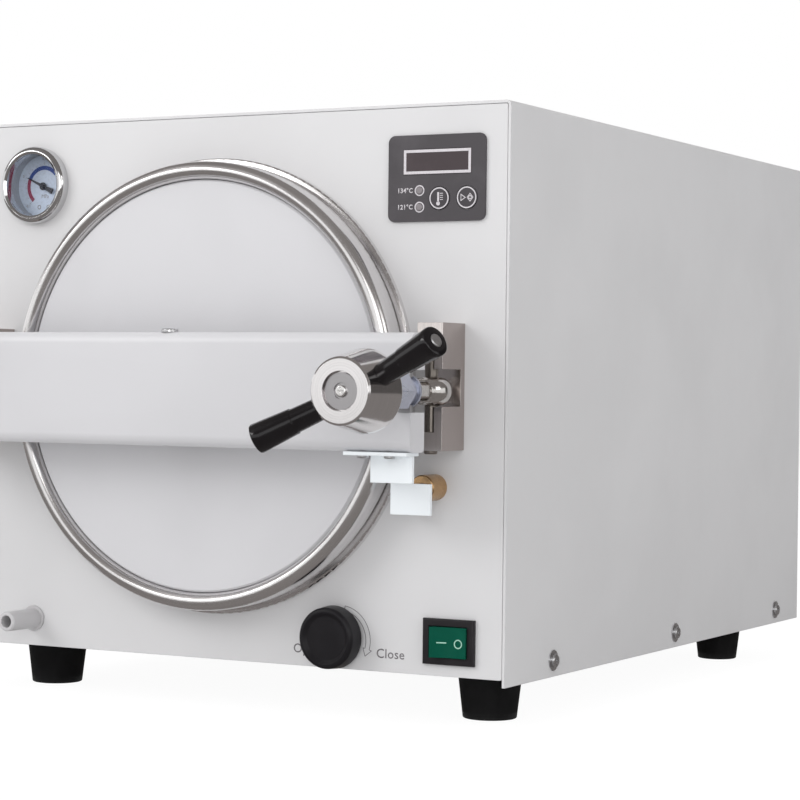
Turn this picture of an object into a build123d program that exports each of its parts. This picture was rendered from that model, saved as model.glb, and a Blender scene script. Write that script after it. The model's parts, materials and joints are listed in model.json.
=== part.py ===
from build123d import *
import math
import os

# All sizes are millimetres. X is measured from the body's middle, Y from the front panel's face
# towards the back, and Z from the underside of the housing. The last step moves everything onto
# its feet, with the origin at the bottom centre.

# Housing
body_width = 420.0
body_depth = 523.0
body_height = 350.0
cover_sheet = 1.8
cover_bend = 3.0
tray_sheet = 1.6
tray_lift = 4.4
tray_upstand = 18.0
panel_sheet = 2.0
panel_gap = 0.3
cover_flange = 12.0
sheet_fit = 0.1

# Feet and housing screws
foot_height = 28.4
foot_inset_side = 43.0
foot_inset_front = 68.0
foot_inset_rear = 60.0
front_foot_top_radius = 20.9
front_foot_bottom_radius = 17.0
rear_foot_top_radius = 18.4
rear_foot_bottom_radius = 14.5
foot_recess = 12.0
foot_screw_radius = 2.5
foot_screw_head = 5.0
side_screw_height = 10.2
side_screw_places = (68.5, 269.3, 472.5)
side_screw_radius = 2.0
side_screw_head = 4.2
side_screw_head_height = 2.2
washer_radius = 6.5
washer_thickness = 0.6

# Pressure chamber
door_x = 4.0
axis_above_middle = 2.5
axis_height = body_height / 2 + axis_above_middle
chamber_radius = 122.0
chamber_wall = 2.0
chamber_length = 380.0
chamber_dish = 26.0
weld_gap = 0.05
flange_radius = 144.0
flange_proud = 4.0
gasket_inner = 127.0
gasket_outer = 137.0
gasket_depth = 2.5
gasket_proud = 0.6
gasket_fit = 0.2
heater_start = 120.0
heater_width = 150.0
heater_thickness = 4.0
jacket_thickness = 20.0
jacket_start = 12.0
saddle_place = 330.0
saddle_width = 40.0
saddle_sheet = 3.0
saddle_half_width = 70.0
saddle_foot = 16.0

# Trays and their rack
rack_half_width = 92.0
rack_sheet = 1.5
rack_top = 62.0
rack_start = 30.0
rack_length = 300.0
rack_seat_gap = 0.3
rack_strap = 16.0
rack_slot_length = 110.0
rack_slot_height = 22.0
ledge_depth = 7.0
tray_levels = (-52.0, 8.0)
tray_gap = 1.5
tray_height = 22.0
tray_wall = 1.2
tray_length = 290.0
tray_hole_radius = 4.0
tray_hole_pitch = 36.0
tray_hole_side = 10.0
tray_hole_end = 20.0

# Door
door_gap = 1.4
door_radius = 141.0
door_rim_inner = 129.7
door_rim_front = -24.8
door_back_plate = 4.0
door_cover_front = -20.6
door_cover_sheet = 1.6
cover_rim_gap = 0.3
lug_plate_radius = 30.0
lug_plate_thickness = 4.0
lug_half_width = 11.0
lug_half_height = 15.0
lug_end_reach = 6.0
lug_side_gap = 1.5
lug_end_gap = 0.6

# Clamp bar
clamp_reach = 167.5
clamp_drop = 1.2
clamp_height = axis_height - clamp_drop
hinge_x = door_x - clamp_reach
bolt_x = door_x + clamp_reach
bar_height = 70.0
bar_drop = 0.8
bar_front = -61.0
bar_thickness = 17.5
bar_past_bolt = 5.5
bar_right_end = bolt_x + bar_past_bolt
bar_front_round = 7.0
hinge_pin_radius = 5.0
hinge_fit = 0.05
bar_knuckle_gap = 0.5
bar_shoulder = 13.5
door_pin_radius = 4.0
door_pin_head = 5.2
door_pin_head_height = 2.2

# Hinge bracket
hinge_ear_height = 12.0
hinge_ear_width = 25.0
hinge_ear_right = 8.5
hinge_rise = 3.0
hinge_plate = 6.0
hinge_back_plate = 5.0
hinge_ear_round = 7.0
hinge_ear_past = 1.0
hinge_pin_lip = 2.0
hinge_pin_cap = 2.5

# Latch bracket, pin and eye bolt
bolt_pin_depth = -24.5
latch_height = 76.0
latch_raise = 2.7
latch_front = -28.9
latch_plate = 5.4
latch_plate_gap = 4.1
latch_ear_height = 11.0
latch_ear_reach = 7.5
latch_back_plate = 4.0
latch_pin_radius = 3.5
latch_pin_collar = 4.0
latch_pin_head = 2.0
eye_radius = 12.0
eye_height = 17.2
eye_round = 8.0
eye_gap = 7.5
eye_side_gap = 0.5
eye_top_gap = 4.5
shank_radius = 6.0
shank_tip = -54.2
shank_chamfer = 1.5

# Clamp nut
slot_half_height = 12.4
keeper_front = -60.5
keeper_thickness = 3.0
keeper_fit = 0.05
keeper_mouth = 8.0
nose_end = -55.2
nose_bore = 6.4
groove_radius = 8.6
groove_gap = 0.3
nut_turns = 1.5
slot_mouth = 40.0
thread_pitch = 2.0
collar_flats = 20.0
hub_back = -104.0
hub_front = -134.0
hub_back_radius = 24.2
hub_front_radius = 18.5
hub_edge = 2.0
hub_recess_radius = 11.2
hub_recess_depth = 3.0
hub_disc_radius = 10.4
hub_screw_radius = 3.4
hub_screw_well = 4.6
spigot_radius = 8.0
spigot_length = 10.0
grip_angle = 26.2
grip_tilt = 13.0
grip_centre = -114.2
grip_start = 18.5
grip_end = 65.7
grip_seam = 40.0
grip_seam_step = 0.5
grip_inner_radius = 6.6
grip_outer_radius = 8.9
grip_end_round = 1.6
stud_radius = 4.0
stud_tip = 66.3
stud_start = 12.5
stud_bore = 30.0

# Interlock under the bar
strike_before_bolt = 39.5
strike_past_bolt = 2.5
strike_left = bolt_x - strike_before_bolt
strike_right = bolt_x + strike_past_bolt
strike_sheet = 2.2
tab_before_bolt = 25.5
strike_tab_left = bolt_x - tab_before_bolt
strike_tab_drop = 16.0
strike_tab_front = -52.0
strike_screws_before_bolt = (28.5, 10.5)
strike_screw_places = [bolt_x - before for before in strike_screws_before_bolt]
strike_screw_radius = 1.9
strike_screw_head = 3.4
strike_screw_head_height = 1.6
catch_before_bolt = 25.5
catch_past_bolt = 1.5
catch_below_axis = 75.0
catch_height = 18.7
catch_left = bolt_x - catch_before_bolt
catch_right = bolt_x + catch_past_bolt
catch_bottom = axis_height - catch_below_axis
catch_top = catch_bottom + catch_height
catch_front = -27.0
catch_sheet = 2.0
gland_before_bolt = 9.5
gland_below_axis = 59.3
gland_x = bolt_x - gland_before_bolt
gland_z = axis_height - gland_below_axis
gland_radius = 8.0
gland_length = 17.5
gland_thread_radius = 5.0
plunger_radius = 3.0
plunger_fit = 0.05
plunger_proud = 1.0
plunger_travel = 5.0
plunger_tail = 22.0
plunger_head_radius = 5.0
plunger_head_length = 3.0

# Pressure gauge
gauge_from_left = 72.5
gauge_from_top = 41.5
gauge_x = -body_width / 2 + gauge_from_left
gauge_z = body_height - gauge_from_top
gauge_radius = 25.4
gauge_bezel_width = 5.0
gauge_front = -7.5
gauge_can_radius = 22.0
gauge_can_depth = 28.0
gauge_can_sheet = 1.0
gauge_dial_radius = 20.9
gauge_dial_back = 8.4
gauge_dial_seat = 2.0
gauge_dial_sheet = 0.8
gauge_glass_sheet = 1.2
gauge_glass_front = -5.3
gauge_stem_radius = 5.0
gauge_stem_length = 18.0
pointer_sheet = 0.5
pointer_lift = 1.6
pointer_length = 13.6
pointer_tail = 8.5
pointer_boss_radius = 2.6
pointer_arbor_radius = 0.7
pointer_arbor_fit = 0.05
pointer_rest_angle = 155.0

# Control panel
control_from_right = 15.8
control_from_top = 19.0
control_width = 66.0
control_height = 52.4
control_right = body_width / 2 - control_from_right
control_left = control_right - control_width
control_top = body_height - control_from_top
control_bottom = control_top - control_height
control_thickness = 1.6
control_corner = 4.5
window_from_left = 10.4
window_from_top = 8.6
window_width = 46.3
window_height = 15.4
window_left = control_left + window_from_left
window_right = window_left + window_width
window_top = control_top - window_from_top
window_bottom = window_top - window_height
window_depth = 1.0
window_proud = 0.3
lens_radius = 2.3
lens_from_left = 21.6
lens_rises = (18.8, 8.8)
lens_x = control_left + lens_from_left
lens_heights = [control_bottom + rise for rise in lens_rises]
lens_proud = 0.7
button_radius = 6.9
button_gap = 0.3
button_rise = 13.9
button_height = control_bottom + button_rise
temperature_from_left = 35.2
start_from_left = 53.8
button_places = {"temperature_button": control_left + temperature_from_left,
                 "start_button": control_left + start_from_left}
button_proud = 0.5
button_thickness = 1.0
button_travel = 0.5
button_stem_radius = 4.0
button_stem_gap = 0.5
button_stem_end = 4.0
board_face = 9.0
board_sheet = 1.6
board_margin = 3.0
post_radius = 3.0
post_inset = 6.0
switch_gap = 0.2
switch_half = 3.0
module_depth = 14.0
module_side = 8.0
module_below = 18.0

# Power switch
switch_from_right = 36.9
switch_x = body_width / 2 - switch_from_right
switch_z = 25.4
switch_width = 34.7
switch_height = 27.8
switch_front = -3.0
switch_body_depth = 26.0
switch_body_margin = 2.6
rocker_half_width = 11.7
rocker_half_height = 9.2
rocker_side_gap = 1.3
rocker_end_gap = 0.4
rocker_pivot = 5.0
rocker_edge = -6.4
rocker_valley = -4.4
rocker_tilt = 7.0
rocker_axle_radius = 1.6
axle_fit = 0.05

# Exhaust valve and knob
knob_from_right = 115.0
knob_x = body_width / 2 - knob_from_right
knob_z = 24.1
knob_radius = 19.5
knob_back = -3.0
knob_front = -15.5
knob_rim = 3.6
knob_dish = 1.8
knob_edge = 2.4
knob_skirt = 1.2
spindle_radius = 3.0
spindle_fit = 0.05
knob_bore_depth = 8.0
valve_body_half = 11.0
valve_body_depth = 34.0
valve_gland_radius = 8.0
valve_gland_proud = 1.6

# Drain spigot
spigot_from_left = 73.5
spigot_x = -body_width / 2 + spigot_from_left
spigot_z = 22.3
drain_radius = 6.5
drain_proud = 30.0
drain_bore = 4.0
drain_tail = 24.0
drain_collar_radius = 8.4
drain_collar = 1.2

# Inside and rear equipment
transformer_from_right = 32.0
transformer_x = body_width / 2 - transformer_from_right
transformer_y = 300.0
transformer_size = (40.0, 70.0, 56.0)
transformer_plates = 6.0
cutout_y = 235.0
cutout_radius = 11.0
safety_from_right = 90.0
safety_from_top = 50.0
safety_x = body_width / 2 - safety_from_right
safety_z = body_height - safety_from_top
safety_radius = 9.0
safety_length = 34.0
safety_nut = 13.0
safety_nut_length = 6.0
safety_inside = 12.0
safety_stem_radius = 5.0
safety_stem_length = 8.0
inlet_from_right = 60.0
inlet_x = body_width / 2 - inlet_from_right
inlet_z = 60.0
inlet_width = 30.0
inlet_height = 23.0
inlet_depth = 22.0
inlet_rim = 3.0
inlet_rim_thickness = 2.0
vent_from_left = 120.0
vent_x = -body_width / 2 + vent_from_left
vent_z = 120.0
vent_count = 7
vent_pitch = 14.0
vent_length = 90.0
vent_height = 3.5
pipe_radius = 3.0
pipe_run = 60.0
pipe_bend = 18.0

# Derived places
bar_back = bar_front + bar_thickness
bar_middle = (bar_front + bar_back) / 2
bar_bottom = clamp_height - bar_drop - bar_height / 2
bar_top = clamp_height - bar_drop + bar_height / 2
hinge_low = bar_bottom
hinge_high = bar_top + hinge_rise
knuckle_low = hinge_low + hinge_ear_height + bar_knuckle_gap
knuckle_high = hinge_high - hinge_ear_height - bar_knuckle_gap
latch_low = clamp_height + latch_raise - latch_height / 2
latch_high = clamp_height + latch_raise + latch_height / 2
chamber_outer = chamber_radius + chamber_wall
chamber_end = chamber_length - flange_proud
jacket_outer = chamber_outer + 2 * weld_gap + jacket_thickness
door_back = -flange_proud - gasket_proud - door_gap
lug_face = door_cover_front - lug_plate_thickness
hub_collar_corner = collar_flats / 2 / math.cos(math.radians(30))
nut_travel = nut_turns * thread_pitch
inside_half = body_width / 2 - cover_sheet
panel_half = inside_half - panel_gap
floor_top = tray_lift + tray_sheet
grip_end_points = [(grip_outer_radius, grip_end - grip_end_round),
                   (grip_outer_radius - grip_end_round * 0.25, grip_end - grip_end_round * 0.4),
                   (grip_outer_radius - grip_end_round, grip_end)]


def block(x_span, y_span, z_span):
    """A box between two limits on each axis."""
    spans = (x_span, y_span, z_span)
    size = [abs(high - low) for low, high in spans]
    middle = [(high + low) / 2 for low, high in spans]
    return Pos(*middle) * Box(*size)


def rod_y(radius, y_from, y_to, x=0.0, z=0.0):
    """A round bar whose axis lies along Y."""
    return Pos(x, (y_from + y_to) / 2, z) * Rot(90, 0, 0) * Cylinder(radius, abs(y_to - y_from))


def rod_z(radius, z_from, z_to, x=0.0, y=0.0):
    """A round bar whose axis lies along Z."""
    return Pos(x, y, (z_from + z_to) / 2) * Cylinder(radius, abs(z_to - z_from))


def rod_x(radius, x_from, x_to, y=0.0, z=0.0):
    """A round bar whose axis lies along X."""
    return Pos((x_from + x_to) / 2, y, z) * Rot(0, 90, 0) * Cylinder(radius, abs(x_to - x_from))


def tube_y(outer, inner, y_from, y_to, x=0.0, z=0.0):
    """A ring or tube whose axis lies along Y."""
    margin = abs(y_to - y_from)
    return rod_y(outer, y_from, y_to, x, z) - rod_y(inner, y_from - margin, y_to + margin, x, z)


def turned_y(outline, x=0.0, z=0.0):
    """A turned solid about an axis along Y, from an outline of (radius, y) points or edges."""
    face = make_face(outline) if isinstance(outline, Curve) else make_face(Polyline(*outline, close=True))
    return Pos(x, 0, z) * revolve(face, Axis.Y)


def front_plane(y):
    """The plane seen from the front at a given Y: its own x is X, its own y is Z."""
    return Plane(origin=(0, y, 0), x_dir=(1, 0, 0), z_dir=(0, -1, 0))


def plate(sketch, y_front, y_back):
    """A flat plate cut to a sketch drawn in X and Z."""
    return extrude(front_plane(y_back) * sketch, amount=y_back - y_front)


def rounded_rectangle(left, right, bottom, top, radius):
    """A rectangle with round corners, drawn in X and Z."""
    middle = Pos((left + right) / 2, (bottom + top) / 2)
    return middle * RectangleRounded(right - left, top - bottom, radius)


def screw_head(radius, height):
    """A pan head standing on the XY plane, with a cross recess."""
    head = Cylinder(radius, height, align=(Align.CENTER, Align.CENTER, Align.MIN))
    head = fillet(head.edges().sort_by(Axis.Z)[-1], height * 0.45)
    arm = Box(radius * 1.1, radius * 0.24, height)
    return head - Pos(0, 0, height) * (arm + Rot(0, 0, 90) * arm)


def grip_reach(cosine):
    """How far a grip reaches along an axis that makes this cosine with its own."""
    across = math.sqrt(1 - cosine ** 2)
    return max(distance * cosine + radius * across for radius, distance in grip_end_points)


def onto_feet():
    """The move from the drawing's axes to the part's own: bottom centre of everything at rest."""
    turn = math.cos(math.radians(grip_angle))
    tilt = math.radians(grip_tilt)
    right = bolt_x + grip_reach(turn * math.cos(tilt))
    left = -body_width / 2 - washer_thickness - side_screw_head_height
    front = grip_centre - grip_reach(math.sin(tilt))
    rear = body_depth + safety_length
    return Pos(-(left + right) / 2, -(front + rear) / 2, foot_height)


# Housing

def make_base_tray():
    """The folded floor tray between the two panels: four upstands, holes for the feet and the fittings."""
    half = inside_half - sheet_fit
    inner = half - tray_sheet
    length = (panel_sheet + sheet_fit, body_depth - panel_sheet - sheet_fit)
    height = (tray_lift, tray_upstand)
    tray = block((-half, half), length, (tray_lift, floor_top))
    for side in (-1, 1):
        tray += block((side * inner, side * half), length, height)
    tray += block((-half, half), (length[0], length[0] + tray_sheet), height)
    tray += block((-half, half), (length[1] - tray_sheet, length[1]), height)
    for x, y in foot_places(True) + foot_places(False):
        tray -= rod_z(foot_screw_radius, tray_lift - 1, floor_top + 1, x, y)
    for y in side_screw_places:
        tray -= rod_x(side_screw_radius + sheet_fit, -body_width, body_width, y, side_screw_height)
    tray -= rod_y(drain_radius + sheet_fit, -1, panel_sheet + 2 * tray_sheet, spigot_x, spigot_z)
    tray -= knob_hole()
    tray -= switch_hole()
    return tray


def knob_hole():
    """Clearance through the sheet for the exhaust valve's threaded gland."""
    return rod_y(valve_gland_radius + sheet_fit, -1, panel_sheet + 3 * tray_sheet, knob_x, knob_z)


def switch_hole():
    """Clearance through the sheet for the switch's body."""
    half_x = switch_width / 2 - switch_body_margin + sheet_fit
    half_z = switch_height / 2 - switch_body_margin + sheet_fit
    return block((switch_x - half_x, switch_x + half_x), (-1, panel_sheet + 3 * tray_sheet),
                 (switch_z - half_z, switch_z + half_z))


def make_cover_shell():
    """The wrapped cover: roof and two sides in one sheet, with inward flanges behind the panels."""
    outline = Rectangle(body_width, body_height, align=(Align.CENTER, Align.MIN))
    outline = fillet(outline.vertices().group_by(Axis.Y)[-1], cover_bend)
    opening = Rectangle(2 * inside_half, body_height - cover_sheet, align=(Align.CENTER, Align.MIN))
    opening = fillet(opening.vertices().group_by(Axis.Y)[-1], cover_bend - cover_sheet)
    cover = plate(outline - opening, 0, body_depth)
    frame = Rectangle(2 * inside_half, body_height - cover_sheet, align=(Align.CENTER, Align.MIN))
    flange_bottom = tray_upstand + sheet_fit
    window = Pos(0, flange_bottom) * Rectangle(2 * (inside_half - cover_flange),
                                               body_height - cover_sheet - cover_flange - flange_bottom,
                                               align=(Align.CENTER, Align.MIN))
    below = Rectangle(2 * inside_half, flange_bottom, align=(Align.CENTER, Align.MIN))
    flange = frame - window - below
    front = panel_sheet + sheet_fit
    cover += plate(flange, front, front + tray_sheet)
    cover += plate(flange, body_depth - front - tray_sheet, body_depth - front)
    for y in side_screw_places:
        cover -= rod_x(side_screw_radius + sheet_fit, -body_width, body_width, y, side_screw_height)
    return cover


def panel_sheet_outline():
    """The flat outline that both end panels share."""
    return rounded_rectangle(-panel_half, panel_half, tray_lift,
                             body_height - cover_sheet - panel_gap, cover_bend - cover_sheet)


def make_front_panel():
    """The front plate with the mouth and every opening that a control or fitting passes through."""
    panel = plate(panel_sheet_outline(), 0, panel_sheet)
    panel -= rod_y(chamber_outer + weld_gap, -1, panel_sheet + 1, door_x, axis_height)
    panel -= rod_y(gauge_can_radius + sheet_fit, -1, panel_sheet + 1, gauge_x, gauge_z)
    panel -= rod_y(drain_radius + sheet_fit, -1, panel_sheet + 1, spigot_x, spigot_z)
    panel -= knob_hole()
    panel -= switch_hole()
    panel -= rod_y(gland_thread_radius + sheet_fit, -1, panel_sheet + 1, gland_x, gland_z)
    for x in button_places.values():
        panel -= rod_y(button_stem_radius + button_stem_gap, -1, panel_sheet + 1, x, button_height)
    for z in lens_heights:
        panel -= rod_y(lens_radius + sheet_fit, -1, panel_sheet + 1, lens_x, z)
    return panel


def make_rear_panel():
    """The back plate with vent slots and the openings for the inlet and the safety valve."""
    panel = plate(panel_sheet_outline(), body_depth - panel_sheet, body_depth)
    through = (body_depth - panel_sheet - 1, body_depth + 1)
    for index in range(vent_count):
        z = vent_z + index * vent_pitch
        slot = Pos(vent_x, z) * SlotOverall(vent_length, vent_height)
        panel -= plate(slot, *through)
    panel -= block((inlet_x - inlet_width / 2 - sheet_fit, inlet_x + inlet_width / 2 + sheet_fit), through,
                   (inlet_z - inlet_height / 2 - sheet_fit, inlet_z + inlet_height / 2 + sheet_fit))
    panel -= rod_y(safety_radius + sheet_fit, *through, safety_x, safety_z)
    return panel


def foot_places(front):
    """The centres of the two front or the two rear feet."""
    x = body_width / 2 - foot_inset_side
    y = foot_inset_front if front else body_depth - foot_inset_rear
    return [(-x, y), (x, y)]


def make_feet(front):
    """A pair of tapered rubber feet, hollow below for their screws."""
    top = front_foot_top_radius if front else rear_foot_top_radius
    bottom = front_foot_bottom_radius if front else rear_foot_bottom_radius
    cone = Cone(bottom, top, foot_height + tray_lift, align=(Align.CENTER, Align.CENTER, Align.MIN))
    cone = Pos(0, 0, -foot_height) * fillet(cone.edges().sort_by(Axis.Z)[0], 1.2)
    cone -= Pos(0, 0, -foot_height) * Cylinder(foot_screw_head + 2, foot_recess,
                                               align=(Align.CENTER, Align.CENTER, Align.MIN))
    cone -= Cylinder(foot_screw_radius + sheet_fit, 3 * foot_height)
    return [Pos(x, y, 0) * cone for x, y in foot_places(front)]


def make_foot_screws():
    """The four screws that pass up through the feet into the floor tray."""
    seat = -foot_height + foot_recess
    shank = rod_z(foot_screw_radius, seat, floor_top + 4)
    nut = Pos(0, 0, floor_top) * extrude(RegularPolygon(4.4, 6), amount=3.2)
    head = Pos(0, 0, seat) * Rot(180, 0, 0) * screw_head(foot_screw_head, 3.0)
    screw = head + shank + nut
    return [Pos(x, y, 0) * screw for x, y in foot_places(True) + foot_places(False)]


def make_side_screws():
    """The six cover screws, each with its flat washer."""
    screws = []
    washer = Cylinder(washer_radius, washer_thickness, align=(Align.CENTER, Align.CENTER, Align.MIN))
    head = Pos(0, 0, washer_thickness) * screw_head(side_screw_head, side_screw_head_height)
    shank = Cylinder(side_screw_radius, cover_sheet + 3 * tray_sheet, align=(Align.CENTER, Align.CENTER, Align.MAX))
    screw = washer + head + shank
    for side in (-1, 1):
        for y in side_screw_places:
            place = Pos(side * body_width / 2, y, side_screw_height) * Rot(0, side * 90, 0)
            screws.append(place * screw)
    return screws


# Pressure vessel

def make_chamber():
    """The deep-drawn chamber: a straight wall and a dished far end."""
    outer = chamber_outer
    inner = chamber_radius
    mouth = -flange_proud
    crown = (outer ** 2 + chamber_dish ** 2) / (2 * chamber_dish)
    centre = chamber_end - crown

    def on_dish(radius, turn):
        return radius * math.sin(turn), centre + radius * math.cos(turn)

    outer_turn = math.asin(outer / crown)
    inner_turn = math.asin(inner / (crown - chamber_wall))
    outer_edge = on_dish(crown, outer_turn)
    inner_edge = on_dish(crown - chamber_wall, inner_turn)
    with BuildLine() as outline:
        Line((inner, mouth), (outer, mouth))
        Line((outer, mouth), outer_edge)
        ThreePointArc(outer_edge, on_dish(crown, outer_turn / 2), on_dish(crown, 0))
        Line(on_dish(crown, 0), on_dish(crown - chamber_wall, 0))
        ThreePointArc(on_dish(crown - chamber_wall, 0), on_dish(crown - chamber_wall, inner_turn / 2), inner_edge)
        Line(inner_edge, (inner, mouth))
    return turned_y(outline.line, door_x, axis_height)


def make_chamber_flange():
    """The mouth ring round the chamber, with the gasket's groove."""
    ring = tube_y(flange_radius, chamber_outer + weld_gap, -flange_proud, 0, door_x, axis_height)
    groove = tube_y(gasket_outer, gasket_inner, -flange_proud - 1, -flange_proud + gasket_depth,
                    door_x, axis_height)
    ring -= groove
    return fillet(ring.edges().filter_by(GeomType.CIRCLE).sort_by(lambda e: e.radius)[-2:].sort_by(Axis.Y)[0], 1.0)


def make_door_gasket():
    """The silicone ring in the flange, standing proud towards the door."""
    return tube_y(gasket_outer - gasket_fit, gasket_inner + gasket_fit, -flange_proud - gasket_proud,
                  -flange_proud + gasket_depth - 0.05, door_x, axis_height)


def make_heater_band():
    """The band heater round the chamber, with its clamping gap and screw lugs at the top."""
    band = tube_y(chamber_outer + weld_gap + heater_thickness, chamber_outer + weld_gap, heater_start,
                  heater_start + heater_width, door_x, axis_height)
    gap = (heater_start - 1, heater_start + heater_width + 1)
    return band - block((door_x - 4, door_x + 4), gap, (axis_height, axis_height + 2 * chamber_outer))


def make_insulation_jacket():
    """The mineral wool jacket, in one layer round the band and the chamber."""
    inner = chamber_outer + weld_gap + heater_thickness + weld_gap
    return tube_y(jacket_outer, inner, jacket_start, chamber_end - chamber_dish, door_x, axis_height)


def make_chamber_saddle():
    """The cradle that carries the rear of the vessel off the floor tray."""
    radius = jacket_outer + weld_gap
    span = (saddle_place - saddle_width / 2, saddle_place + saddle_width / 2)
    low = (door_x - saddle_half_width, door_x + saddle_half_width)
    drop = math.sqrt(radius ** 2 - saddle_half_width ** 2)
    saddle = block(low, span, (floor_top, axis_height - drop))
    saddle -= rod_y(radius, span[0] - 1, span[1] + 1, door_x, axis_height)
    inside = (low[0] + saddle_sheet, low[1] - saddle_sheet)
    bottom_wall = axis_height - radius - saddle_sheet
    saddle -= block(inside, (span[0] - 1, span[1] - saddle_sheet), (floor_top - 1, bottom_wall))
    for side, edge in zip((-1, 1), low):
        saddle += block((edge, edge + side * saddle_foot), span, (floor_top, floor_top + saddle_sheet))
    return saddle


def make_tray_rack():
    """The rack: two slotted side sheets with ledges, tied by two straps low down."""
    seat = math.sqrt(chamber_radius ** 2 - (rack_half_width + rack_sheet) ** 2) - rack_seat_gap
    span = (rack_start, rack_start + rack_length)
    rack = None
    for side in (-1, 1):
        inner = door_x + side * rack_half_width
        outer = inner + side * rack_sheet
        sheet = block((inner, outer), span, (axis_height - seat, axis_height + rack_top))
        for level in tray_levels:
            for centre in (rack_start + rack_length * 0.27, rack_start + rack_length * 0.73):
                middle = axis_height + level + tray_height + rack_slot_height / 2 + 2
                sheet -= block((inner - side * 2, outer + side * 2),
                               (centre - rack_slot_length / 2, centre + rack_slot_length / 2),
                               (middle - rack_slot_height / 2, middle + rack_slot_height / 2))
            under = axis_height + level
            sheet += block((inner, inner - side * ledge_depth), span, (under - rack_sheet, under))
        rack = sheet if rack is None else rack + sheet
    low = axis_height - seat
    for start in (span[0], span[1] - rack_strap):
        rack += block((door_x - rack_half_width, door_x + rack_half_width), (start, start + rack_strap),
                      (low, low + rack_sheet))
    return rack


def make_instrument_trays():
    """The shallow drilled trays that lie on the rack's ledges."""
    trays = []
    half = rack_half_width - tray_gap
    start = rack_start + (rack_length - tray_length) / 2
    for level in tray_levels:
        bottom = axis_height + level
        tray = block((door_x - half, door_x + half), (start, start + tray_length), (bottom, bottom + tray_height))
        tray -= block((door_x - half + tray_wall, door_x + half - tray_wall),
                      (start + tray_wall, start + tray_length - tray_wall),
                      (bottom + tray_wall, bottom + tray_height + 1))
        rows = int(2 * (half - ledge_depth - tray_hole_side) // tray_hole_pitch)
        columns = int((tray_length - 2 * tray_hole_end) // tray_hole_pitch)
        for row in range(rows + 1):
            for column in range(columns + 1):
                x = door_x + (row - rows / 2) * tray_hole_pitch
                y = start + tray_length / 2 + (column - columns / 2) * tray_hole_pitch
                tray -= rod_z(tray_hole_radius, bottom - 1, bottom + tray_wall + 1, x, y)
        trays.append(tray)
    return trays


# Door

def make_door_plate():
    """The door dish: a thick back and a polished rolled rim round its edge."""
    crown = (door_radius + door_rim_inner) / 2
    shoulder = door_rim_front + 5.2
    with BuildLine() as outline:
        Line((0, door_back), (door_radius - 2, door_back))
        Line((door_radius - 2, door_back), (door_radius, door_back - 2))
        Line((door_radius, door_back - 2), (door_radius, shoulder))
        ThreePointArc((door_radius, shoulder), (crown, door_rim_front), (door_rim_inner, shoulder))
        Line((door_rim_inner, shoulder), (door_rim_inner, door_back - door_back_plate))
        Line((door_rim_inner, door_back - door_back_plate), (0, door_back - door_back_plate))
        Line((0, door_back - door_back_plate), (0, door_back))
    return turned_y(outline.line, door_x, axis_height)


def make_door_cover():
    """The flat white cap pressed into the dish, hollow behind for its insulation."""
    outer = door_rim_inner - cover_rim_gap
    back = door_back - door_back_plate - 0.05
    sheet = door_cover_sheet
    outline = [(0, door_cover_front), (outer - 1.2, door_cover_front), (outer, door_cover_front + 1.2),
               (outer, back), (outer - sheet, back), (outer - sheet, door_cover_front + sheet),
               (0, door_cover_front + sheet)]
    return turned_y(outline, door_x, axis_height)


def make_door_lug():
    """The round foot plate on the cover and the lug that hangs on the bar's centre pin."""
    foot = rod_y(lug_plate_radius, lug_face, door_cover_front, door_x, axis_height)
    low = axis_height - lug_half_height
    high = axis_height + lug_half_height
    front = bar_middle - lug_end_reach
    lug = block((door_x - lug_half_width, door_x + lug_half_width), (front, lug_face), (low, high))
    lug = fillet(lug.edges().filter_by(Axis.Z).group_by(Axis.Y)[0], lug_end_reach / 2)
    return foot + lug - rod_z(door_pin_radius + hinge_fit, low - 1, high + 1, door_x, bar_middle)


# Clamp bar and hinge

def slot_outline(clearance=0.0):
    """The slot in the bar's end: round inside, open to the right, drawn in X and Z."""
    radius = slot_half_height - clearance
    reach = bar_right_end - bolt_x + (20 if clearance == 0 else -0.5)
    round_end = Pos(bolt_x, clamp_height) * Circle(radius)
    straight = Pos(bolt_x, clamp_height) * Rectangle(reach, 2 * radius, align=(Align.MIN, Align.CENTER))
    right_of_middle = Pos(bolt_x + reach, clamp_height) * Rectangle(slot_mouth, 4 * radius,
                                                                    align=(Align.MIN, Align.CENTER))
    return round_end + straight - right_of_middle


def make_clamp_bar():
    """The white bar: rounded long edges, hinge end, pocket for the door's lug and open slot."""
    bar = block((hinge_x, bar_right_end), (bar_front, bar_back), (bar_bottom, bar_top))
    long_edges = bar.edges().filter_by(Axis.X)
    bar = fillet(long_edges.group_by(Axis.Y)[0], bar_front_round)
    bar = fillet(bar.edges().filter_by(Axis.X).group_by(Axis.Y)[-1], bar_front_round / 3)
    for span in ((bar_bottom - 1, knuckle_low), (knuckle_high, bar_top + 1)):
        bar -= block((hinge_x - 1, hinge_x + bar_shoulder), (bar_front - 1, bar_back + 1), span)
    bar += rod_z(bar_thickness / 2, knuckle_low, knuckle_high, hinge_x, bar_middle)
    bar -= rod_z(hinge_pin_radius + hinge_fit, bar_bottom - 1, bar_top + 1, hinge_x, bar_middle)
    pocket_front = bar_middle - lug_end_reach - lug_end_gap
    pocket = block((door_x - lug_half_width - lug_side_gap, door_x + lug_half_width + lug_side_gap),
                   (pocket_front, bar_back + 1),
                   (axis_height - lug_half_height - lug_end_gap, axis_height + lug_half_height + lug_end_gap))
    bar -= pocket
    bar -= rod_z(door_pin_radius, bar_bottom - 1, bar_top + 1, door_x, bar_middle)
    bar -= plate(slot_outline(), bar_front - 1, bar_back + 1)
    return bar


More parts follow.
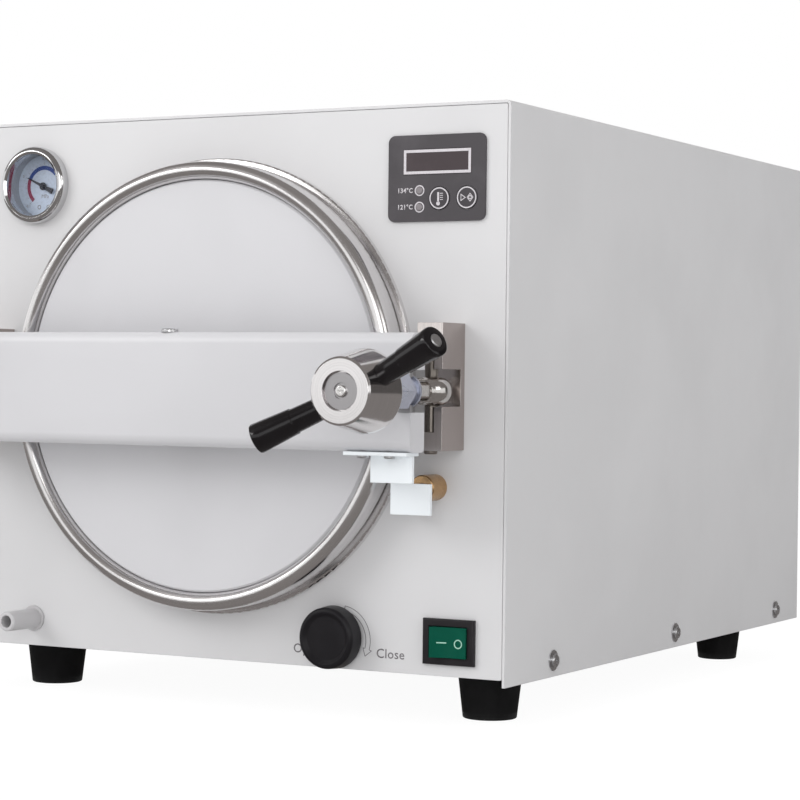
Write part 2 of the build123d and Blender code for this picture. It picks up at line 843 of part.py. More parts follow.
def make_door_pivot_pin():
    """The headed pin through the bar and the door's lug."""
    pin = rod_z(door_pin_radius, bar_bottom + 2, bar_top, door_x, bar_middle)
    head = rod_z(door_pin_head, bar_top, bar_top + door_pin_head_height, door_x, bar_middle)
    return pin + fillet(head.edges().sort_by(Axis.Z)[-1], 0.8)


def make_hinge_bracket():
    """The left bracket: a back plate on the panel, a side plate and two ears for the hinge pin."""
    right = hinge_x + hinge_ear_right
    left = right - hinge_ear_width - hinge_plate
    bracket = block((left, left + hinge_plate), (bar_middle + hinge_pin_radius, 0), (hinge_low, hinge_high))
    bracket += block((left, right), (-hinge_back_plate, 0), (hinge_low, hinge_high))
    for low in (hinge_low, hinge_high - hinge_ear_height):
        ear = block((left, right), (bar_front - hinge_ear_past, 0), (low, low + hinge_ear_height))
        bracket += fillet(ear.edges().filter_by(Axis.Z).group_by(Axis.Y)[0], hinge_ear_round)
    return bracket - rod_z(hinge_pin_radius, hinge_low - 1, hinge_high + 1, hinge_x, bar_middle)


def make_hinge_pin():
    """The vertical pin through both ears and the bar's end."""
    pin = rod_z(hinge_pin_radius, hinge_low, hinge_high, hinge_x, bar_middle)
    head = rod_z(hinge_pin_radius + hinge_pin_lip, hinge_high, hinge_high + hinge_pin_cap, hinge_x, bar_middle)
    return pin + fillet(head.edges().sort_by(Axis.Z)[-1], 0.8)


# Latch

def make_latch_bracket():
    """The right bracket: notched side plate and two ears that hold the bolt's pin."""
    inner = bolt_x + latch_plate_gap
    outer = inner + latch_plate
    left = bolt_x - latch_ear_reach
    bracket = block((inner, outer), (latch_front, 0), (latch_low, latch_high))
    for low in (latch_low, latch_high - latch_ear_height):
        bracket += block((left, inner), (latch_front, 0), (low, low + latch_ear_height))
    bracket += block((left, inner), (-latch_back_plate, 0), (latch_low, latch_high))
    notch_back = bolt_pin_depth + eye_radius + eye_gap
    bracket -= block((left - 1, outer + 1), (latch_front - 1, notch_back),
                     (clamp_height - eye_height / 2 - eye_side_gap, clamp_height + eye_height / 2 + eye_top_gap))
    return bracket - rod_z(latch_pin_radius, latch_low - 1, latch_high + 1, bolt_x, bolt_pin_depth)


def make_latch_pin():
    """The stepped pin: thin through the eye, thicker above and below it, its head under the lower ear."""
    eye = eye_height / 2 + weld_gap
    ear = latch_ear_height + weld_gap
    pin = rod_z(latch_pin_radius, latch_low, latch_high, bolt_x, bolt_pin_depth)
    head = rod_z(latch_pin_collar, latch_low - latch_pin_head, latch_low, bolt_x, bolt_pin_depth)
    pin += fillet(head.edges().sort_by(Axis.Z)[0], 0.8)
    for span in ((latch_low + ear, clamp_height - eye), (clamp_height + eye, latch_high - ear)):
        pin += rod_z(latch_pin_collar, *span, bolt_x, bolt_pin_depth)
    return pin


def make_eye_bolt():
    """The swing bolt: a crowned eye round the pin and a short threaded shank."""
    eye = rod_z(eye_radius, clamp_height - eye_height / 2, clamp_height + eye_height / 2, bolt_x, bolt_pin_depth)
    eye = fillet(eye.edges().filter_by(GeomType.CIRCLE), eye_round)
    shank = rod_y(shank_radius, shank_tip, bolt_pin_depth - latch_pin_radius - 2, bolt_x, clamp_height)
    shank = chamfer(shank.edges().sort_by(Axis.Y)[0], shank_chamfer)
    bore = rod_z(latch_pin_radius + hinge_fit, clamp_height - eye_height, clamp_height + eye_height,
                 bolt_x, bolt_pin_depth)
    return eye + shank - bore


# Clamp nut, drawn about the bolt's axis

def make_thrust_collar():
    """The hexagonal nose: threaded inside, grooved for the keeper and spigoted into the hub."""
    groove_front = keeper_front - nut_travel - groove_gap - 0.2
    groove_back = keeper_front + keeper_thickness + groove_gap
    hexagon = Pos(bolt_x, clamp_height) * RegularPolygon(hub_collar_corner, 6)
    collar = plate(hexagon, hub_back, groove_front)
    collar += rod_y(groove_radius, groove_front, groove_back, bolt_x, clamp_height)
    collar += rod_y(collar_flats / 2, groove_back, nose_end, bolt_x, clamp_height)
    collar += rod_y(spigot_radius, hub_back - spigot_length, hub_back, bolt_x, clamp_height)
    return collar - rod_y(nose_bore, hub_back + 2, nose_end + 1, bolt_x, clamp_height)


def make_nut_keeper():
    """The forked plate in the slot that rides in the collar's groove and holds the nut on the bar."""
    mouth = Pos(bolt_x, clamp_height) * Rectangle(slot_mouth, 2 * keeper_mouth,
                                                   align=(Align.MIN, Align.CENTER))
    seat = Pos(bolt_x, clamp_height) * Circle(groove_radius + groove_gap)
    return plate(slot_outline(keeper_fit) - mouth - seat, keeper_front, keeper_front + keeper_thickness)


def make_hub_nut():
    """The flared hub: turned outside, recessed in front, bored for the spigot and the studs."""
    with BuildLine() as outline:
        Line((0, hub_back), (hub_back_radius - hub_edge, hub_back))
        ThreePointArc((hub_back_radius - hub_edge, hub_back),
                      (hub_back_radius - hub_edge * 0.29, hub_back - hub_edge * 0.29),
                      (hub_back_radius, hub_back - hub_edge))
        Line((hub_back_radius, hub_back - hub_edge), (hub_front_radius + 0.8, hub_front + 1.0))
        Line((hub_front_radius + 0.8, hub_front + 1.0), (hub_front_radius - 0.4, hub_front))
        Line((hub_front_radius - 0.4, hub_front), (hub_recess_radius, hub_front))
        Line((hub_recess_radius, hub_front), (hub_recess_radius, hub_front + hub_recess_depth))
        Line((hub_recess_radius, hub_front + hub_recess_depth), (0, hub_front + hub_recess_depth))
        Line((0, hub_front + hub_recess_depth), (0, hub_back))
    hub = turned_y(outline.line, bolt_x, clamp_height)
    hub -= rod_y(spigot_radius + weld_gap, hub_back - spigot_length - weld_gap, hub_back + 1, bolt_x, clamp_height)
    for side in (-1, 1):
        hub -= along_grip(side) * Pos(0, 0, stud_start - weld_gap) * Cylinder(
            stud_radius + weld_gap, stud_bore, align=(Align.CENTER, Align.CENTER, Align.MIN))
    hub -= rod_y(1.5, hub_front, hub_front + hub_recess_depth + 8, bolt_x, clamp_height)
    return hub


def along_grip(side):
    """The place whose own Z runs out along one grip: side 1 points up right, -1 down left."""
    turn = math.radians(grip_angle)
    tilt = math.radians(grip_tilt)
    direction = Vector(side * math.cos(turn) * math.cos(tilt), -math.sin(tilt),
                       side * math.sin(turn) * math.cos(tilt))
    return Plane(origin=(bolt_x, grip_centre, clamp_height), z_dir=direction).location


def make_hub_disc():
    """The small disc in the hub's recess, with a well for its screw."""
    back = hub_front + hub_recess_depth
    disc = rod_y(hub_disc_radius, back - 1.4, back, bolt_x, clamp_height)
    disc -= rod_y(hub_screw_well, back - 3, back - 0.7, bolt_x, clamp_height)
    return disc - rod_y(1.5, back - 3, back + 1, bolt_x, clamp_height)


def make_hub_screw():
    """The cross-head screw in the middle of the hub."""
    seat = hub_front + hub_recess_depth - 0.7
    head = Pos(bolt_x, seat, clamp_height) * Rot(90, 0, 0) * screw_head(hub_screw_radius, 1.6)
    return head + rod_y(1.45, seat, seat + 7, bolt_x, clamp_height)


def make_grip_studs():
    """The two steel studs from the hub through the grips, with rounded tips."""
    stud = Pos(0, 0, stud_start) * Cylinder(stud_radius, stud_tip - stud_start,
                                            align=(Align.CENTER, Align.CENTER, Align.MIN))
    stud = fillet(stud.edges().sort_by(Axis.Z)[-1], 1.0)
    return [along_grip(side) * stud for side in (-1, 1)]


def make_handle_grips():
    """The two black tapered grips, each with a seam step and a rounded outer end."""
    def radius_at(distance):
        share = (distance - grip_start) / (grip_end - grip_start)
        return grip_inner_radius + (grip_outer_radius - grip_inner_radius) * share
    seam_radius = radius_at(grip_seam)
    bore = stud_radius + weld_gap
    outline = [(bore, grip_start), (grip_inner_radius - 1.4, grip_start), (grip_inner_radius, grip_start + 2.2),
               (seam_radius - grip_seam_step, grip_seam), (seam_radius, grip_seam + 0.4),
               *grip_end_points, (bore, grip_end)]
    face = make_face(Plane.XZ * Polyline(*outline, close=True))
    grip = revolve(face, Axis.Z)
    hub = turned_hub_envelope()
    return [along_grip(side) * grip - hub for side in (-1, 1)]


def turned_hub_envelope():
    """The hub's outside with a hair of room, which the grips' inner ends are cut to."""
    room = 0.1
    outline = [(0, hub_back + 1), (hub_back_radius + room, hub_back + 1),
               (hub_back_radius + room, hub_back - hub_edge), (hub_front_radius + 0.8 + room, hub_front + 1.0),
               (hub_front_radius + 0.8 + room, hub_front - 1), (0, hub_front - 1)]
    return turned_y(outline, bolt_x, clamp_height)


# Interlock

def make_interlock_strike():
    """The steel plate under the bar and the tab that hangs from it."""
    top = bar_bottom
    strike = block((strike_left, strike_right), (bar_front + 1, bar_back - 1), (top - strike_sheet, top))
    strike += block((strike_tab_left, strike_right), (strike_tab_front, strike_tab_front + strike_sheet),
                    (top - strike_sheet - strike_tab_drop, top - strike_sheet))
    for x in strike_screw_places:
        strike -= rod_z(strike_screw_radius + sheet_fit, top - strike_sheet - 1, top + 1, x, strike_screw_line())
    return strike


def strike_screw_line():
    """The Y of the strike's screws, in front of its hanging tab."""
    return (bar_front + 1 + strike_tab_front) / 2


def make_strike_screws():
    """The two screws that hold the strike up under the bar."""
    seat = bar_bottom - strike_sheet
    head = Rot(180, 0, 0) * screw_head(strike_screw_head, strike_screw_head_height)
    shank = Cylinder(strike_screw_radius, strike_sheet - weld_gap, align=(Align.CENTER, Align.CENTER, Align.MIN))
    return [Pos(x, strike_screw_line(), seat) * (head + shank) for x in strike_screw_places]


def make_interlock_catch():
    """The folded catch on the panel: front plate, web on its far side and a foot against the panel."""
    span = (catch_bottom, catch_top)
    catch = block((catch_left, catch_right), (catch_front, catch_front + catch_sheet), span)
    catch += block((catch_left, catch_left + catch_sheet), (catch_front, 0), span)
    return catch + block((catch_left, gland_x - gland_radius - 1), (-catch_sheet, 0), span)


def make_interlock_gland():
    """The brass gland that guides the locking pin through the panel."""
    body = rod_y(gland_radius, -gland_length, 0, gland_x, gland_z)
    body = fillet(body.edges().sort_by(Axis.Y)[0], 1.2)
    tail = rod_y(gland_thread_radius, 0, plunger_tail - plunger_head_length - plunger_travel - 1, gland_x, gland_z)
    return body + tail - rod_y(plunger_radius + plunger_fit, -gland_length - 1, plunger_tail, gland_x, gland_z)


def make_interlock_plunger():
    """The locking pin: it moves out through the gland when there is pressure."""
    pin = rod_y(plunger_radius, -gland_length - plunger_proud, plunger_tail, gland_x, gland_z)
    pin = fillet(pin.edges().sort_by(Axis.Y)[0], 0.8)
    return pin + rod_y(plunger_head_radius, plunger_tail - plunger_head_length, plunger_tail, gland_x, gland_z)


# Pressure gauge

def make_gauge_case():
    """The can behind the panel with its dial seat and threaded stem."""
    back = gauge_can_depth
    can = tube_y(gauge_can_radius, gauge_can_radius - gauge_can_sheet, 0, back, gauge_x, gauge_z)
    can += rod_y(gauge_can_radius, back, back + gauge_can_sheet, gauge_x, gauge_z)
    can += tube_y(gauge_can_radius - gauge_can_sheet, gauge_can_radius - 4, gauge_dial_back,
                  gauge_dial_back + gauge_dial_seat, gauge_x, gauge_z)
    nut = plate(Pos(gauge_x, gauge_z) * RegularPolygon(gauge_stem_radius + 2.5, 6), back + gauge_can_sheet,
                back + gauge_can_sheet + 7)
    can += nut
    can += rod_y(gauge_stem_radius, back + gauge_can_sheet, back + gauge_stem_length, gauge_x, gauge_z)
    return can


def make_gauge_bezel():
    """The chromed ring with a crowned front, seated on the panel."""
    inner = gauge_radius - gauge_bezel_width
    with BuildLine() as outline:
        Line((inner, 0), (gauge_radius, 0))
        Line((gauge_radius, 0), (gauge_radius, gauge_front + 3.4))
        ThreePointArc((gauge_radius, gauge_front + 3.4), (gauge_radius - 1.6, gauge_front + 0.6),
                      (gauge_radius - 3.4, gauge_front))
        Line((gauge_radius - 3.4, gauge_front), (inner, gauge_front + 1.0))
        Line((inner, gauge_front + 1.0), (inner, 0))
    return turned_y(outline.line, gauge_x, gauge_z)


def make_gauge_dial():
    """The printed dial, with the hole that the pointer's arbor turns in."""
    dial = rod_y(gauge_dial_radius, gauge_dial_back - gauge_dial_sheet, gauge_dial_back, gauge_x, gauge_z)
    return dial - rod_y(pointer_arbor_radius + pointer_arbor_fit, 0, gauge_dial_back + 1, gauge_x, gauge_z)


def make_gauge_glass():
    """The flat glass inside the bezel."""
    radius = gauge_radius - gauge_bezel_width - weld_gap
    return rod_y(radius, gauge_glass_front, gauge_glass_front + gauge_glass_sheet, gauge_x, gauge_z)


def make_gauge_pointer():
    """The pointer: a tapered needle, a broad tail, a round boss and the arbor behind it."""
    needle = make_face(Polyline((0, -1.1), (pointer_length, -0.25), (pointer_length, 0.25), (0, 1.1), close=True))
    tail = make_face(Polyline((0, -0.7), (-pointer_tail, -1.9), (-pointer_tail, 1.9), (0, 0.7), close=True))
    outline = needle + tail + Circle(pointer_boss_radius)
    placed = Pos(gauge_x, gauge_z) * Rot(0, 0, pointer_rest_angle) * outline
    face = gauge_dial_back - gauge_dial_sheet - pointer_lift
    pointer = plate(placed, face, face + pointer_sheet)
    pointer += rod_y(pointer_boss_radius * 0.55, face - 0.8, face, gauge_x, gauge_z)
    return pointer + rod_y(pointer_arbor_radius, face, gauge_dial_back + 3, gauge_x, gauge_z)


# Control panel

def make_control_panel():
    """The dark fascia: pocket for the window, holes for lenses and buttons."""
    outline = rounded_rectangle(control_left, control_right, control_bottom, control_top, control_corner)
    fascia = plate(outline, -control_thickness, 0)
    fascia -= block((window_left, window_right), (-control_thickness - 1, -control_thickness + window_depth),
                    (window_bottom, window_top))
    for x in button_places.values():
        fascia -= rod_y(button_radius + button_gap, -control_thickness - 1, 1, x, button_height)
    for z in lens_heights:
        fascia -= rod_y(lens_radius + sheet_fit, -control_thickness - 1, 1, lens_x, z)
    return fascia


def make_display_window():
    """The display's clear window, in its pocket and slightly proud."""
    edge = sheet_fit
    window = block((window_left + edge, window_right - edge),
                   (-control_thickness - window_proud, -control_thickness + window_depth),
                   (window_bottom + edge, window_top - edge))
    return chamfer(window.faces().sort_by(Axis.Y)[0].edges(), 0.25)


def make_lamp_lenses():
    """The two temperature lamps' lenses, with stems that reach the board."""
    lenses = []
    for z in lens_heights:
        lens = rod_y(lens_radius, -control_thickness - lens_proud, board_face - 1, lens_x, z)
        lenses.append(fillet(lens.edges().sort_by(Axis.Y)[0], 0.6))
    return lenses


def make_button(x):
    """One push button: a domed cap and a stem that reaches its switch on the board."""
    front = -control_thickness - button_proud
    cap = rod_y(button_radius, front, front + button_thickness, x, button_height)
    cap = fillet(cap.edges().sort_by(Axis.Y)[0], 0.4)
    return cap + rod_y(button_stem_radius, front + button_thickness, button_stem_end, x, button_height)


def make_control_board():
    """The circuit board behind the fascia, with its posts and the two key switches."""
    left, right = control_left + board_margin, control_right - board_margin
    bottom, top = control_bottom + board_margin, control_top - board_margin
    board = block((left, right), (board_face, board_face + board_sheet), (bottom, top))
    for x in (left + post_inset, right - post_inset):
        for z in (bottom + post_inset / 2, top - post_inset / 2):
            board += rod_y(post_radius, panel_sheet, board_face, x, z)
    for x in button_places.values():
        board += block((x - switch_half, x + switch_half), (button_stem_end + button_travel + switch_gap, board_face),
                       (button_height - switch_half, button_height + switch_half))
    board += block((left + module_side, right - module_side),
                   (board_face + board_sheet, board_face + board_sheet + module_depth),
                   (bottom + module_below, top - module_side))
    return board


# Power switch

def make_switch_bezel():
    """The switch's bezel and body in one moulding, open in front for the rocker."""
    half_x, half_z = switch_width / 2, switch_height / 2
    bezel = block((switch_x - half_x, switch_x + half_x), (switch_front, 0),
                  (switch_z - half_z, switch_z + half_z))
    bezel = fillet(bezel.faces().sort_by(Axis.Y)[0].edges(), 1.2)
    body_x, body_z = half_x - switch_body_margin, half_z - switch_body_margin
    bezel += block((switch_x - body_x, switch_x + body_x), (0, switch_body_depth),
                   (switch_z - body_z, switch_z + body_z))
    room_x = rocker_half_width + rocker_side_gap
    room_z = rocker_half_height + rocker_end_gap
    bezel -= block((switch_x - room_x, switch_x + room_x), (switch_front - 1, rocker_pivot + 8),
                   (switch_z - room_z, switch_z + room_z))
    return bezel - rod_z(rocker_axle_radius + axle_fit, switch_z - body_z + 0.4, switch_z + body_z - 0.4,
                         switch_x, rocker_pivot)


def make_power_rocker():
    """The rocker: a shallow V face on round flanks, tipped to one side, with its axle ends."""
    half = rocker_half_width
    back = rocker_pivot + 3.0
    outline = Polyline((-half, rocker_edge), (0, rocker_valley), (half, rocker_edge),
                       (half - 0.4, rocker_pivot - 1.0), (half - 5, back), (5 - half, back),
                       (0.4 - half, rocker_pivot - 1.0), close=True)
    face = make_face(outline)
    body = extrude(face, amount=2 * rocker_half_height)
    body = Pos(0, 0, -rocker_half_height) * body
    axle = rod_z(rocker_axle_radius, -rocker_half_height - 1.0, rocker_half_height + 1.0, 0, rocker_pivot)
    rocker = Pos(0, -rocker_pivot, 0) * (body + axle)
    return Pos(switch_x, rocker_pivot, switch_z) * Rot(0, 0, rocker_tilt) * rocker


# Exhaust valve

def make_exhaust_knob():
    """The knob: round skirt, raised rim and a dished face, bored for the spindle."""
    rim = knob_radius - knob_edge
    with BuildLine() as outline:
        Line((0, knob_back), (knob_radius - 0.8, knob_back))
        Line((knob_radius - 0.8, knob_back), (knob_radius, knob_back - knob_skirt))
        Line((knob_radius, knob_back - knob_skirt), (knob_radius - 0.6, knob_front + knob_edge))
        ThreePointArc((knob_radius - 0.6, knob_front + knob_edge),
                      (knob_radius - 1.3, knob_front + 0.7), (rim, knob_front))
        Line((rim, knob_front), (rim - 1.2, knob_front))
        Line((rim - 1.2, knob_front), (rim - knob_rim, knob_front + knob_dish))
        Line((rim - knob_rim, knob_front + knob_dish), (0, knob_front + knob_dish))
        Line((0, knob_front + knob_dish), (0, knob_back))
    knob = turned_y(outline.line, knob_x, knob_z)
    return knob - rod_y(spindle_radius + weld_gap, knob_back - knob_bore_depth, knob_back + 1, knob_x, knob_z)


def make_valve_spindle():
    """The spindle from the knob into the exhaust valve, with its needle end."""
    end = valve_body_depth - 8
    spindle = rod_y(spindle_radius, knob_back - knob_bore_depth + 0.2, end, knob_x, knob_z)
    return chamfer(spindle.edges().sort_by(Axis.Y)[-1], 1.8)


def make_exhaust_valve():
    """The brass valve block behind the panel: front gland, square body and two pipe stubs."""
    body_start = panel_sheet + tray_sheet + 2 * sheet_fit
    valve = rod_y(valve_gland_radius, -valve_gland_proud, body_start, knob_x, knob_z)
    valve += block((knob_x - valve_body_half, knob_x + valve_body_half), (body_start, valve_body_depth),
                   (knob_z - valve_body_half, knob_z + valve_body_half))
    valve += rod_x(pipe_radius + 2, knob_x - valve_body_half - 8, knob_x - valve_body_half,
                   valve_body_depth - 9, knob_z)
    valve += rod_y(pipe_radius + 2, valve_body_depth, valve_body_depth + 8, knob_x, knob_z)
    return valve - rod_y(spindle_radius + spindle_fit, -valve_gland_proud - 1, valve_body_depth - 7, knob_x, knob_z)


def make_drain_spigot():
    """The drain spigot at the lower left: a plain tube with a collar against the panel."""
    spigot = rod_y(drain_radius, -drain_proud, drain_tail, spigot_x, spigot_z)
    spigot = fillet(spigot.edges().sort_by(Axis.Y)[0], 1.5)
    spigot += rod_y(drain_collar_radius, -drain_collar, 0, spigot_x, spigot_z)
    return spigot - rod_y(drain_bore, -drain_proud - 1, drain_tail + 1, spigot_x, spigot_z)


# Inside and rear equipment

def make_transformer():
    """The mains transformer on the floor tray: a laminated core and its winding."""
    width, length, height = transformer_size
    foot = floor_top
    x = (transformer_x - width / 2, transformer_x + width / 2)
    y = (transformer_y - length / 2, transformer_y + length / 2)
    core = block(x, (y[0] + 12, y[1] - 12), (foot, foot + height))
    winding = block((x[0] + transformer_plates, x[1] - transformer_plates), y,
                    (foot + transformer_plates + 2, foot + height - transformer_plates - 2))
    return core + fillet(winding.edges().filter_by(Axis.Y), 3.0)


def make_thermal_cutout():
    """The over-temperature cut-out: a round switch on a folded plate that stands on the floor tray."""
    x = (transformer_x - cutout_radius, transformer_x + cutout_radius)
    top = floor_top + 2 * cutout_radius + 4
    stand = block(x, (cutout_y, cutout_y + tray_sheet), (floor_top, top))
    stand += block(x, (cutout_y, cutout_y + cutout_radius), (floor_top, floor_top + tray_sheet))
    middle = top - cutout_radius - 1
    body = rod_y(cutout_radius - 1, cutout_y - 9, cutout_y, transformer_x, middle)
    return stand + body + rod_y(1.5, cutout_y - 13, cutout_y - 9, transformer_x, middle)


def make_safety_valve():
    """The safety valve behind the rear panel, fed by its own pipe from the chamber's end."""
    start = body_depth - panel_sheet - safety_inside
    shoulder = body_depth + safety_length - safety_stem_length
    hexagon = Pos(safety_x, safety_z) * RegularPolygon(safety_nut, 6)
    valve = rod_y(safety_radius, start, shoulder, safety_x, safety_z)
    valve += plate(hexagon, body_depth, body_depth + safety_nut_length)
    valve += plate(hexagon, start, body_depth - panel_sheet)
    return valve + rod_y(safety_stem_radius, shoulder, body_depth + safety_length, safety_x, safety_z)


def make_steam_pipe():
    """The bent pipe from the chamber's rear end to the safety valve."""
    start = (door_x, chamber_end + weld_gap, axis_height)
    turn = body_depth - panel_sheet - pipe_run
    finish = body_depth - panel_sheet - safety_inside - weld_gap
    points = [start, (door_x, turn, axis_height), (safety_x, turn, safety_z), (safety_x, finish, safety_z)]
    path = FilletPolyline(*points, radius=pipe_bend)
    section = Plane(origin=start, z_dir=(0, 1, 0)) * Circle(pipe_radius)
    return sweep(section, path=path)


def make_mains_inlet():
    """The mains inlet in the rear panel: a rim, a shrouded recess and three flat pins."""
    half_x, half_z = inlet_width / 2, inlet_height / 2
    body = block((inlet_x - half_x, inlet_x + half_x), (body_depth - inlet_depth, body_depth),
                 (inlet_z - half_z, inlet_z + half_z))
    rim = block((inlet_x - half_x - inlet_rim, inlet_x + half_x + inlet_rim),
                (body_depth, body_depth + inlet_rim_thickness),
                (inlet_z - half_z - inlet_rim, inlet_z + half_z + inlet_rim))
    rim = fillet(rim.edges().filter_by(Axis.Y), 3.0)
    inlet = body + rim
    inlet -= block((inlet_x - half_x + 3, inlet_x + half_x - 3), (body_depth - inlet_depth + 4, body_depth + 3),
                   (inlet_z - half_z + 3, inlet_z + half_z - 3))
    for x, z in ((-7, -2), (0, 3), (7, -2)):
        inlet += block((inlet_x + x - 1, inlet_x + x + 1), (body_depth - inlet_depth + 3, body_depth - 3),
                       (inlet_z + z - 2, inlet_z + z + 2))
    return inlet


makers = {
    "base_tray": make_base_tray,
    "cover_shell": make_cover_shell,
    "front_panel": make_front_panel,
    "rear_panel": make_rear_panel,
    "front_feet": lambda: make_feet(True),
    "rear_feet": lambda: make_feet(False),
    "foot_screws": make_foot_screws,
    "side_screws": make_side_screws,
    "chamber": make_chamber,
    "chamber_flange": make_chamber_flange,
    "door_gasket": make_door_gasket,
    "heater_band": make_heater_band,
    "insulation_jacket": make_insulation_jacket,
    "chamber_saddle": make_chamber_saddle,
    "tray_rack": make_tray_rack,
    "instrument_trays": make_instrument_trays,
    "door_plate": make_door_plate,
    "door_cover": make_door_cover,
    "door_lug": make_door_lug,
    "clamp_bar": make_clamp_bar,
    "door_pivot_pin": make_door_pivot_pin,
    "hinge_bracket": make_hinge_bracket,
    "hinge_pin": make_hinge_pin,
    "latch_bracket": make_latch_bracket,
    "latch_pin": make_latch_pin,
    "eye_bolt": make_eye_bolt,
    "thrust_collar": make_thrust_collar,
    "nut_keeper": make_nut_keeper,
    "hub_nut": make_hub_nut,
    "hub_disc": make_hub_disc,
    "hub_screw": make_hub_screw,
    "grip_studs": make_grip_studs,
    "handle_grips": make_handle_grips,
    "interlock_strike": make_interlock_strike,
    "strike_screws": make_strike_screws,
    "interlock_catch": make_interlock_catch,
    "interlock_gland": make_interlock_gland,
    "interlock_plunger": make_interlock_plunger,
    "gauge_case": make_gauge_case,
    "gauge_bezel": make_gauge_bezel,
    "gauge_dial": make_gauge_dial,
    "gauge_glass": make_gauge_glass,
    "gauge_pointer": make_gauge_pointer,
    "control_panel": make_control_panel,
    "display_window": make_display_window,
    "lamp_lenses": make_lamp_lenses,
    "control_board": make_control_board,
    "switch_bezel": make_switch_bezel,
    "power_rocker": make_power_rocker,
    "exhaust_knob": make_exhaust_knob,
    "valve_spindle": make_valve_spindle,
    "exhaust_valve": make_exhaust_valve,
    "drain_spigot": make_drain_spigot,
    "transformer": make_transformer,
    "thermal_cutout": make_thermal_cutout,
    "safety_valve": make_safety_valve,
    "steam_pipe": make_steam_pipe,
    "mains_inlet": make_mains_inlet,
}
for button, place in button_places.items():
    makers[button] = lambda place=place: make_button(place)


def main():
    """Make every piece, stand it on the feet and write it."""
    os.makedirs("parts", exist_ok=True)
    move = onto_feet()
    for name, maker in makers.items():
        made = maker()
        solids = made if isinstance(made, list) else [made]
        placed = [solid for piece in solids for solid in (move * piece).solids()]
        shape = placed[0] if len(placed) == 1 else Compound(children=placed)
        export_step(shape, f"parts/{name}.step")
    print("moved by", tuple(round(value, 3) for value in move.position))


main()
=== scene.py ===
"""A bench-top dental autoclave, dressed for a studio picture: materials, printed marks, light and camera.

Lengths named here are millimetres in the drawing's axes, as at() reads them: X from the body's middle,
Y from the front panel's face towards the back, Z from the housing's underside.
"""

import json
import math

import bmesh
import bpy
from mathutils import Matrix, Vector
from mathutils.bvhtree import BVHTree

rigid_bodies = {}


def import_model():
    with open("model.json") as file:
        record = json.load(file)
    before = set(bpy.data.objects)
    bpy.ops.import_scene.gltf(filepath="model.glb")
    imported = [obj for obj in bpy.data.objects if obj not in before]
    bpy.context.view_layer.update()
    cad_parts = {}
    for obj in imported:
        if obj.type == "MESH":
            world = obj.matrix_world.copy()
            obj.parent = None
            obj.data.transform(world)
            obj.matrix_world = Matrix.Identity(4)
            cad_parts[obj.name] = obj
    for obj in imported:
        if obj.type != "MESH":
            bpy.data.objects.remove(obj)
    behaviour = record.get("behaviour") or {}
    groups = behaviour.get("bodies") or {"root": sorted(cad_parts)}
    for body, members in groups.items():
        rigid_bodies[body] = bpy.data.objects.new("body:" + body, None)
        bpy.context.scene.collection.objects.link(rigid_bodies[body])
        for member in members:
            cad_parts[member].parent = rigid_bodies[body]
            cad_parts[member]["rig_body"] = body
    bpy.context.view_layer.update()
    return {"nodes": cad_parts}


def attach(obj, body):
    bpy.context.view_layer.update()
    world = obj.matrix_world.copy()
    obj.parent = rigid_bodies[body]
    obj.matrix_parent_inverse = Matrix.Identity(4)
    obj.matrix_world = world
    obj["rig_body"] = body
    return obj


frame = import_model()
nodes = frame["nodes"]

MM = 0.001
# Where the drawing's origin lies in the model, in millimetres.
DRAWING_ORIGIN = (-9.853, -209.854, 28.4)

# Axes of the turned pieces: x and z in the drawing.
DOOR_AXIS = (4.0, 177.5)
HUB_AXIS = (171.5, 176.3)
GAUGE_AXIS = (-137.5, 308.5)

# Middle of the curved arrow printed round the exhaust knob.
ARROW_CENTRE = (97.5, 22.5)

# The camera of the photograph.
CAMERA_PLACE = (839.67, -1298.52, 183.28)
CAMERA_YAW, CAMERA_PITCH, CAMERA_ROLL = 28.414, -0.4935, 0.6619
CAMERA_LENS = 109.24
CAMERA_SENSOR = 36

# The stage, in metres, and the world's strength where it gives light and where it is seen.
FLOOR_HALF = 6.0
FLAG_HALF = 4.0
FLAG_TOP = 1.3
LIGHT_AIM = (0, 0, 0.2)
WORLD_LIGHT, WORLD_SEEN = 0.55, 1.0

# Faces that meet at a larger angle than this, in degrees, keep a sharp edge between them.
SHARP_EDGE = 28

# Printed marks stand this far off their surface and are this thick.
PRINT_LIFT = 0.03
PRINT_SHEET = 0.03
# The font's size for capitals 1 high.
SIZE_PER_CAPITAL = 1.37


def at(x, y, z):
    """A point of the drawing, in metres in the model's frame."""
    return Vector((x, y, z)) * MM + Vector(DRAWING_ORIGIN) * MM


def toward(degrees):
    """The unit vector this far round from x towards z."""
    angle = math.radians(degrees)
    return Vector((math.cos(angle), math.sin(angle)))


def put(name, data):
    """A new object in the scene."""
    made = bpy.data.objects.new(name, data)
    bpy.context.scene.collection.objects.link(made)
    return made


def seen_directly(tree):
    """1 for rays from the camera, a reflection or through glass, and 0 for those that carry light."""
    path = tree.nodes.new("ShaderNodeLightPath")
    seen = path.outputs["Is Camera Ray"]
    for kind in ("Is Glossy Ray", "Is Transmission Ray"):
        either = tree.nodes.new("ShaderNodeMath")
        either.operation = "MAXIMUM"
        tree.links.new(seen, either.inputs[0])
        tree.links.new(path.outputs[kind], either.inputs[1])
        seen = either.outputs[0]
    return seen


# Materials


